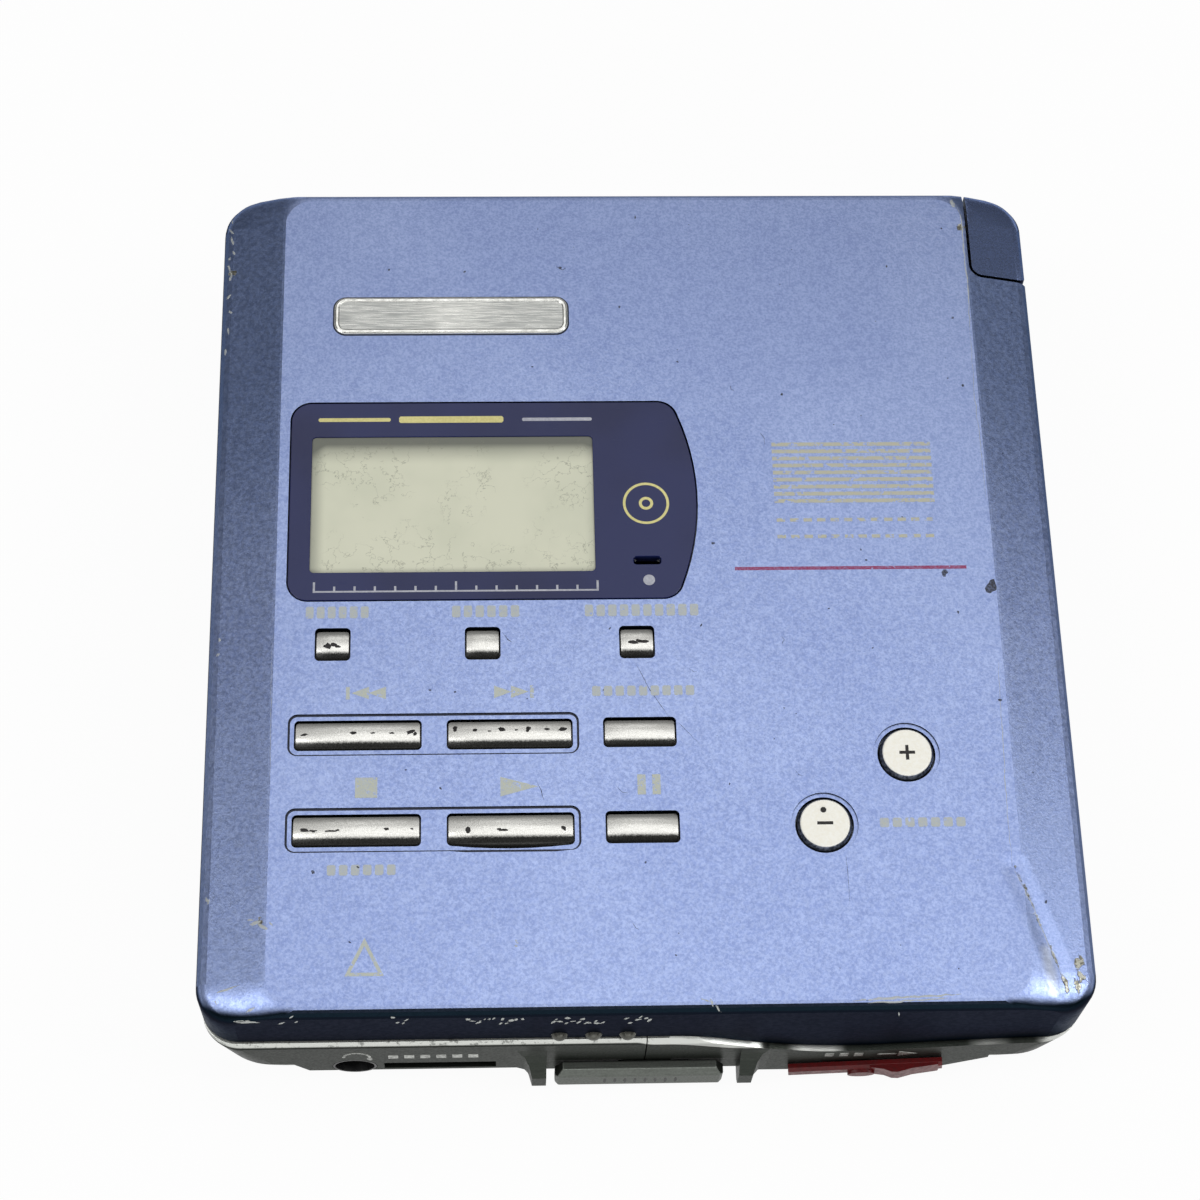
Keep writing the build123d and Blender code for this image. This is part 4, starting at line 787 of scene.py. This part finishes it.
def add_display_marks():
    """Signs on the display plate: rules, a level scale, a disc sign and a record dot."""
    yellow = grained("mark_yellow", rgb(226, 218, 150), rgb(204, 196, 130), 0.45, 0.0, 4.0)
    grey = grained("mark_grey", rgb(190, 192, 200), rgb(160, 162, 174), 0.45, 0.0, 4.0)
    pale = Piece("display_marks_yellow", yellow, "lid", "navy_gloss")
    dim = Piece("display_marks_grey", grey, "lid", "navy_gloss")
    pale.print_on(rectangle(-30.1, -23.2, 17.35, 17.75, 0.12))
    pale.print_on(rectangle(-22.4, -12.4, 17.2, 17.9, 0.15))
    dim.print_on(rectangle(-10.6, -3.9, 17.35, 17.7, 0.1))
    pale.ring(1.05, 8.4, 1.95, 2.2)
    pale.ring(1.05, 8.4, 0.4, 0.68)
    for i in range(15):
        x = -30.3 + i * 1.89
        dim.print_on(rectangle(x, x + 0.2, -0.55, -0.1 if i % 7 else 0.35))
    dim.print_on(rectangle(-30.3, -3.64, -0.72, -0.55))
    dim.print_on(disc(1.1, 0.35, 0.55))
    pale.finish()
    dim.finish()


KEY_CHIPS = {           # picture place, length and width in picture pixels, turn in degrees
    "mode": ((328, 646, 9, 6, 0), (334, 645, 10, 5, 5), (338, 646.5, 6, 3, 0)),
    "search": ((634, 642, 12, 4, 0), (643, 641.5, 12, 4.5, 5), (638, 640, 5, 2.5, 0)),
    "rewind": ((304, 735, 9, 3, -10), (353, 733, 11, 3, 0), (373, 733, 5, 2, 0), (392, 733, 7, 2, 0),
               (410, 732, 10, 4, -20), (415, 734, 5, 5, 60)),
    "forward": ((455, 729, 5, 6, 60), (475, 730, 6, 3, 0), (490, 731, 4, 2, 0), (502, 729, 9, 5, 20),
                (516, 730, 4, 2, 0), (528, 729, 5, 6, 40), (547, 729, 6, 2.5, 0),
                (562, 729, 10, 4, -10)),
    "stop": ((304, 830, 11, 4, 5), (313, 831, 8, 3, 0), (330, 831, 13, 2.5, 0), (338, 830, 5, 2, 0),
             (387, 829, 6, 3, 10), (412, 829, 4, 2, 0)),
    "play": ((503, 830, 12, 3, 0), (499, 829, 5, 2.5, 0), (564, 828, 7, 4.5, 30)),
}
PLAY_DOT = (468, 830, 5.6, 7)           # the raised dot on the play key, in the same terms
SIGN_LONG, SIGN_HALF = 0.72, 0.15       # half length and half width of plus and minus, mm


def add_key_marks():
    """Black marks on the keys: chipped plating, and signs on the volume keys."""
    black = grained("mark_black", rgb(34, 30, 30), rgb(16, 14, 15), 0.5, 0.0, 4.0)
    for key, spots in KEY_CHIPS.items():
        skin = Skin(key + "_button")
        piece = Piece(key + "_chips", black, key + "_key", "bright_key")
        for spot in spots:
            piece.chip(skin.pixel, *spot)
        if key == "play":
            piece.chip(skin.pixel, *PLAY_DOT, rough=0.0, count=20, lift=0.06)
        piece.finish()
    top = TOP_Z + 0.35
    for name, x, y in (("volume_up", 24.1, -17.4), ("volume_down", 16.2, -24.15)):
        sign = Piece(name + "_sign", black, name + "_key", "ivory_key")
        sign.print_on(rectangle(x - SIGN_LONG, x + SIGN_LONG, y - SIGN_HALF, y + SIGN_HALF), top, 0.01)
        if name == "volume_up":
            for low, high in ((y + SIGN_HALF, y + SIGN_LONG), (y - SIGN_LONG, y - SIGN_HALF)):
                sign.print_on(rectangle(x - SIGN_HALF, x + SIGN_HALF, low, high), top, 0.01)
        else:
            sign.print_on(disc(x - 0.1, y + 1.25, 0.26), top, 0.06)
        sign.finish()


# ---- wear on the lid: places in the picture, sizes in its pixels unless given in mm -----
LEFT_EDGE_CHIPS = (     # how far down the left edge
    219, 222, 229, 232, 241, 253, 259, 268, 273, 276, 279, 297, 312, 331, 352, 640, 655, 902,
)
FRONT_EDGE_CHIPS = (    # along the front's upper edge: from, to, how many
    (275, 305, 3), (388, 410, 4), (466, 524, 13), (550, 605, 13), (625, 652, 6),
)
LID_CHIPS = (           # place, length, width, turn in degrees
    (712, 1003, 9, 3, 70), (718, 1008, 13, 2.5, 60), (705, 1000, 12, 1.6, 20), (899, 1014, 4, 2, 80),
    (255, 923, 13, 4, -25), (263, 927, 12, 5, 20), (271, 924, 6, 2, 40), (250, 920, 7, 2, 0),
    (228, 989, 25, 2.6, -19), (250, 1010, 11, 3.2, -30), (243, 1022, 30, 4.2, 3),
    (216, 1003, 5, 1.6, 60), (207, 900, 6, 3, 70), (925, 194, 9, 4, 5), (945, 197, 12, 6, 10),
    (952, 203, 9, 5, 60), (963, 196, 8, 4, -10), (959, 200, 6, 4, 70), (517, 942, 5, 3, 60),
    (516, 946, 3, 2, 0),
)
LID_RUBS = (            # path, width in mm
    (((852, 1001), (885, 998), (930, 996), (962, 994)), 0.32),
    (((868, 1003), (905, 1001), (948, 998)), 0.2),
    (((957, 205), (961, 220), (964, 250), (968, 290), (970, 330)), 0.2),
    (((970, 330), (974, 390), (981, 450), (986, 500)), 0.08),
    (((998, 660), (1001, 710), (1004, 760), (1008, 825), (1013, 868)), 0.1),
    (((1014, 869), (1032, 905), (1049, 945), (1062, 975)), 0.14),
    (((272, 640), (271, 700), (270, 790)), 0.06),
)
LID_SCRATCHES = (       # path, width in mm
    (((636, 664), (650, 690), (668, 715)), 0.09), (((672, 716), (686, 730), (700, 745)), 0.05),
    (((556, 266), (562, 270), (566, 268)), 0.14), (((502, 632), (508, 640), (512, 642)), 0.12),
    (((537, 782), (541, 790), (544, 801)), 0.1), (((878, 764), (884, 770), (890, 772)), 0.08),
    (((616, 786), (622, 792), (628, 793)), 0.07), (((845, 850), (848, 872), (850, 905)), 0.06),
    (((632, 921), (636, 928), (640, 930)), 0.07), (((781, 636), (784, 640), (782, 644)), 0.08),
    (((795, 770), (799, 775), (804, 776)), 0.07), (((688, 668), (694, 672), (698, 671)), 0.06),
    (((730, 385), (731, 389), (734, 391)), 0.08), (((760, 432), (764, 438), (765, 446)), 0.07),
)
LID_SPECKS = (          # place, length, width
    (991, 586, 13, 14), (944, 573, 7, 8), (713, 543, 4, 3), (430, 690, 3, 2), (455, 692, 3, 2),
    (313, 872, 4, 4), (560, 268, 4, 2.5), (1000, 700, 4, 3), (958, 612, 3, 3), (866, 560, 3, 2),
    (676, 955, 3, 2), (1046, 902, 3, 4),
)
STRAY_SPECKS = 60       # how many small specks are strewn over the lid
DISPLAY_U, DISPLAY_V = (285, 700), (400, 605)       # where the display stands, which stays clear


def add_wear(lid):
    """Chips, rubbed lines, scratches and specks on the lid."""
    bare = worn_over_paint("wear_bare", rgb(182, 186, 182), 0.74, 3.0, 0.5, 0.3)
    dark = worn_over_paint("wear_dark", rgb(46, 48, 58), 0.85, 3.0, 0.6, 0.1)
    pick = random.Random(7)
    chips = Piece("lid_chips", bare, "lid", "blue_paint")
    for v in LEFT_EDGE_CHIPS:
        # the edge leans a little to the left on its way down
        chips.chip(lid.pixel, 232 - (v - 219) * 0.035 + pick.uniform(-2, 3), v, pick.uniform(4, 9),
                   pick.uniform(1.6, 3.0), pick.uniform(20, 150))
    for low, high, count in FRONT_EDGE_CHIPS:
        for k in range(count):
            u = low + (high - low) * (k + pick.uniform(0.1, 0.9)) / count
            chips.chip(lid.pixel, u, 1021 + pick.uniform(-4, 2.5), pick.uniform(3, 8),
                       pick.uniform(1.0, 2.4), pick.uniform(-30, 5))
    for spot in LID_CHIPS:
        chips.chip(lid.pixel, *spot)
    chips.finish()
    rubs = Piece("lid_rubs", bare, "lid", "blue_paint")
    for path, width in LID_RUBS:
        rubs.scratch(lid.pixel, path, width, 0.6)
    rubs.finish()
    lines = Piece("lid_scratches", dark, "lid", "blue_paint")
    for path, width in LID_SCRATCHES:
        lines.scratch(lid.pixel, path, width, 0.3)
    for speck in LID_SPECKS:
        lines.chip(lid.pixel, *speck)
    for _ in range(STRAY_SPECKS):
        u, v = pick.uniform(300, 985), pick.uniform(215, 990)
        size = pick.uniform(0.8, 2.4)
        if DISPLAY_U[0] < u < DISPLAY_U[1] and DISPLAY_V[0] < v < DISPLAY_V[1]:
            continue
        lines.chip(lid.pixel, u, v, size * pick.uniform(1, 2), size, pick.uniform(0, 180), count=7)
    lines.finish()


# ---- marks on the front -----------------------------------------------------------------
def bar(x0, x1, z0, z1):
    """An upright rectangle's outline in (x, z) mm."""
    return [(x0, z0), (x0, z1), (x1, z1), (x1, z0)]


def add_front_marks():
    """Worn raised signs on the front panels and grips on the open knob."""
    silver = grained("mark_silver", rgb(186, 188, 182), rgb(96, 98, 94), 0.35, 0.85, 3.0)
    dark = grained("mark_dark", rgb(40, 42, 40), rgb(28, 30, 28), 0.5, 0.5, 3.0)
    left, right, knob = (Skin(name) for name in ("front_panel_left", "front_panel_right", "open_knob"))
    # a headphone sign: a band over two cups
    sign = Piece("headphone_sign", silver, "case", "grey_panel")
    x, z = -26.2, 7.4
    outer, inner = ([(x + r * math.cos(math.pi * k / 8), z + 1.2 * r * math.sin(math.pi * k / 8))
                     for k in range(9)] for r in (1.35, 1.05))
    for k in range(8):
        sign.blob(left.front, [inner[k], inner[k + 1], outer[k + 1], outer[k]], 0.02)
    for side in (-1, 1):
        sign.chip(left.front, x + side * 1.15, z - 0.45, 0.6, 1.1, rough=0.1)
    sign.finish()
    # short bars where words would stand, and an arrow to the right
    bars = Piece("panel_bars", silver, "case", "grey_panel")
    for x0 in [-23.4 + k * 1.45 for k in range(6)]:
        bars.blob(left.front, bar(x0, x0 + 1.0, 6.9, 8.1), 0.02)
    for x0 in [16.5 + k * 1.35 for k in range(3)]:
        bars.blob(right.front, bar(x0, x0 + 0.9, 5.5, 6.7), 0.02)
    bars.blob(right.front, [(21.3, 5.9), (21.3, 6.3), (23.2, 6.4), (23.2, 6.0)], 0.02)
    bars.blob(right.front, [(23.2, 5.4), (23.2, 7.1), (25.2, 6.3)], 0.02)
    bars.finish()
    grips = Piece("knob_grips", dark, "open_latch", "grey_panel")
    for k in range(8):
        grips.chip(knob.front, -3.6 + k * 0.93, 3.1, 0.34, 1.9, rough=0.08, count=12)
    grips.finish()


# ---- lines and rim on the lid -----------------------------------------------------------
PAINTED_SHADE_BAND = ((0.0, -0.03), (0.0, 0.02), (0.19, 0.008), (0.19, -0.03))      # inset and height, mm
PAINTED_SHADE_LINES = (          # x from and to, y from and to, corner, how deep it lies and bows out, mm
    (-32.29, -5.78, -17.05, -12.95, 0.9, 0.2, 0.0),         # the upper key tray
    (-32.32, -5.78, -26.32, -22.08, 0.9, 0.2, 0.3),         # the lower one, bowed at the play key
    (-28.92, -5.88, 26.88, 31.22, 1.3, 0.0, 0.0),           # the blank plate
)
BOW_X, BOW_HALF = -12.1, 6.0            # the middle and half the width of the bow, mm
RIM_BAND = ((0.0, 0.1), (0.0, 0.16), (0.1, 0.2), (0.3, 0.2), (0.4, 0.16), (0.4, 0.1))


def add_painted_shade_lines():
    """Painted shade in the corners of the shallow key trays and round the blank plate."""
    # painted shade: dark lines along the trays' and the plate's edges
    dirt = grained("dirt_line", rgb(34, 40, 62), rgb(22, 26, 42), 0.6, 0.0, 3.0)
    lines = Piece("dirt_lines", dirt, "lid", "blue_paint")
    for x0, x1, y0, y1, r, deep, bow in PAINTED_SHADE_LINES:
        rings = []
        for inset, height in PAINTED_SHADE_BAND:
            ring = rounded(x0 + inset, x1 - inset, y0 + inset, y1 - inset, r - inset)
            # the lower edge bows out
            ring = [(x, y - bow * max(0.0, 1 - ((x - BOW_X) / BOW_HALF) ** 2) if y < y0 + 0.5 else y)
                    for x, y in ring]
            rings.append([(x, y, TOP_Z - deep + height) for x, y in ring])
        lines.loop(rings)
    lines.finish()


def add_plate_rim():
    """A fine raised rim round the blank plate."""
    bright = grained("rim_bright", rgb(246, 246, 242), rgb(226, 226, 220), 0.2, 0.95, 1.2, relief=0.002)
    rim = Piece("plate_rim", bright, "lid", "bright_plate")
    rim.loop([[(x, y, TOP_Z + height)
               for x, y in rounded(-28.7 + inset, -6.1 - inset, 27.1 + inset, 31.0 - inset, 1.1 - inset)]
              for inset, height in RIM_BAND])
    rim.finish()


# ---- stage and light --------------------------------------------------------------------
FLOOR_HALF = 4          # half the floor's side, m
PALE = 0.95             # how much of the seen floor is plain white
WORLD_GREY = 0.07       # the light from all round
LAMPS = (               # name, place and size in m, power in W; all aim at the middle
    ("overhead", (0.05, 0.13, 0.7), (0.56, 0.56), 1.34),
    ("behind", (0, 0.95, 0.6), (0.5, 0.4), 0.6),
    ("left", (-0.56, -0.13, 0.7), (0.36, 0.5), 2.3),
    ("right", (0.68, -0.05, 0.7), (0.36, 0.5), 3.0),
    ("low front", (0.05, -0.95, 0.36), (1.3, 0.6), 4.6),
)


def make_floor():
    """A pale floor that keeps the object's shadow and is seen nearly white."""
    mesh = bpy.data.meshes.new("floor")
    h = FLOOR_HALF
    mesh.from_pydata([(-h, -h, 0), (h, -h, 0), (h, h, 0), (-h, h, 0)], [], [(0, 1, 2, 3)])
    floor = link("floor", mesh)
    material = bpy.data.materials.new("floor")
    material.use_nodes = True
    tree = material.node_tree
    tree.nodes.clear()
    g = Graph(tree)
    grain = g.noise(g.point, 0.02, 3.0)
    soft = g.node("BsdfDiffuse", g.mix(grain, rgb(240, 240, 240), rgb(236, 236, 236)))
    glow = g.node("Emission", (1, 1, 1, 1), 1.0)
    path = tree.nodes.new("ShaderNodeLightPath")
    seen = g.math("MAXIMUM", path.outputs["Is Camera Ray"], path.outputs["Is Glossy Ray"],
                  path.outputs["Is Transmission Ray"])
    mixed = g.node("MixShader", g.math("MULTIPLY", seen, PALE), soft.outputs[0], glow.outputs[0])
    out = tree.nodes.new("ShaderNodeOutputMaterial")
    tree.links.new(mixed.outputs[0], out.inputs["Surface"])
    mesh.materials.append(material)


def make_light():
    """Soft lamps round the object, and a faint even world."""
    for name, place, size, power in LAMPS:
        data = bpy.data.lights.new(name, "AREA")
        data.shape = "RECTANGLE"
        data.size, data.size_y = size
        data.energy = power
        place = Vector(place)
        turn = place.to_track_quat("Z", "Y").to_matrix().to_4x4()
        link(name, data).matrix_world = Matrix.Translation(place) @ turn
    world = bpy.data.worlds.new("world")
    world.use_nodes = True
    background = world.node_tree.nodes["Background"]
    background.inputs["Color"].default_value = (WORLD_GREY, WORLD_GREY, WORLD_GREY, 1)
    bpy.context.scene.world = world
    bpy.context.scene.view_settings.view_transform = "Standard"


# ---- the scene --------------------------------------------------------------------------
make_camera()
for edge_width, softened in EDGE_WIDTHS:
    for node in softened:
        soften(node, edge_width)
lid_skin = Skin("lid_shell")
lid_paint_group(lid_skin)
dress_nodes()
add_prints()
add_display_marks()
add_key_marks()
add_wear(lid_skin)
add_front_marks()
add_painted_shade_lines()
add_plate_rim()
make_floor()
make_light()
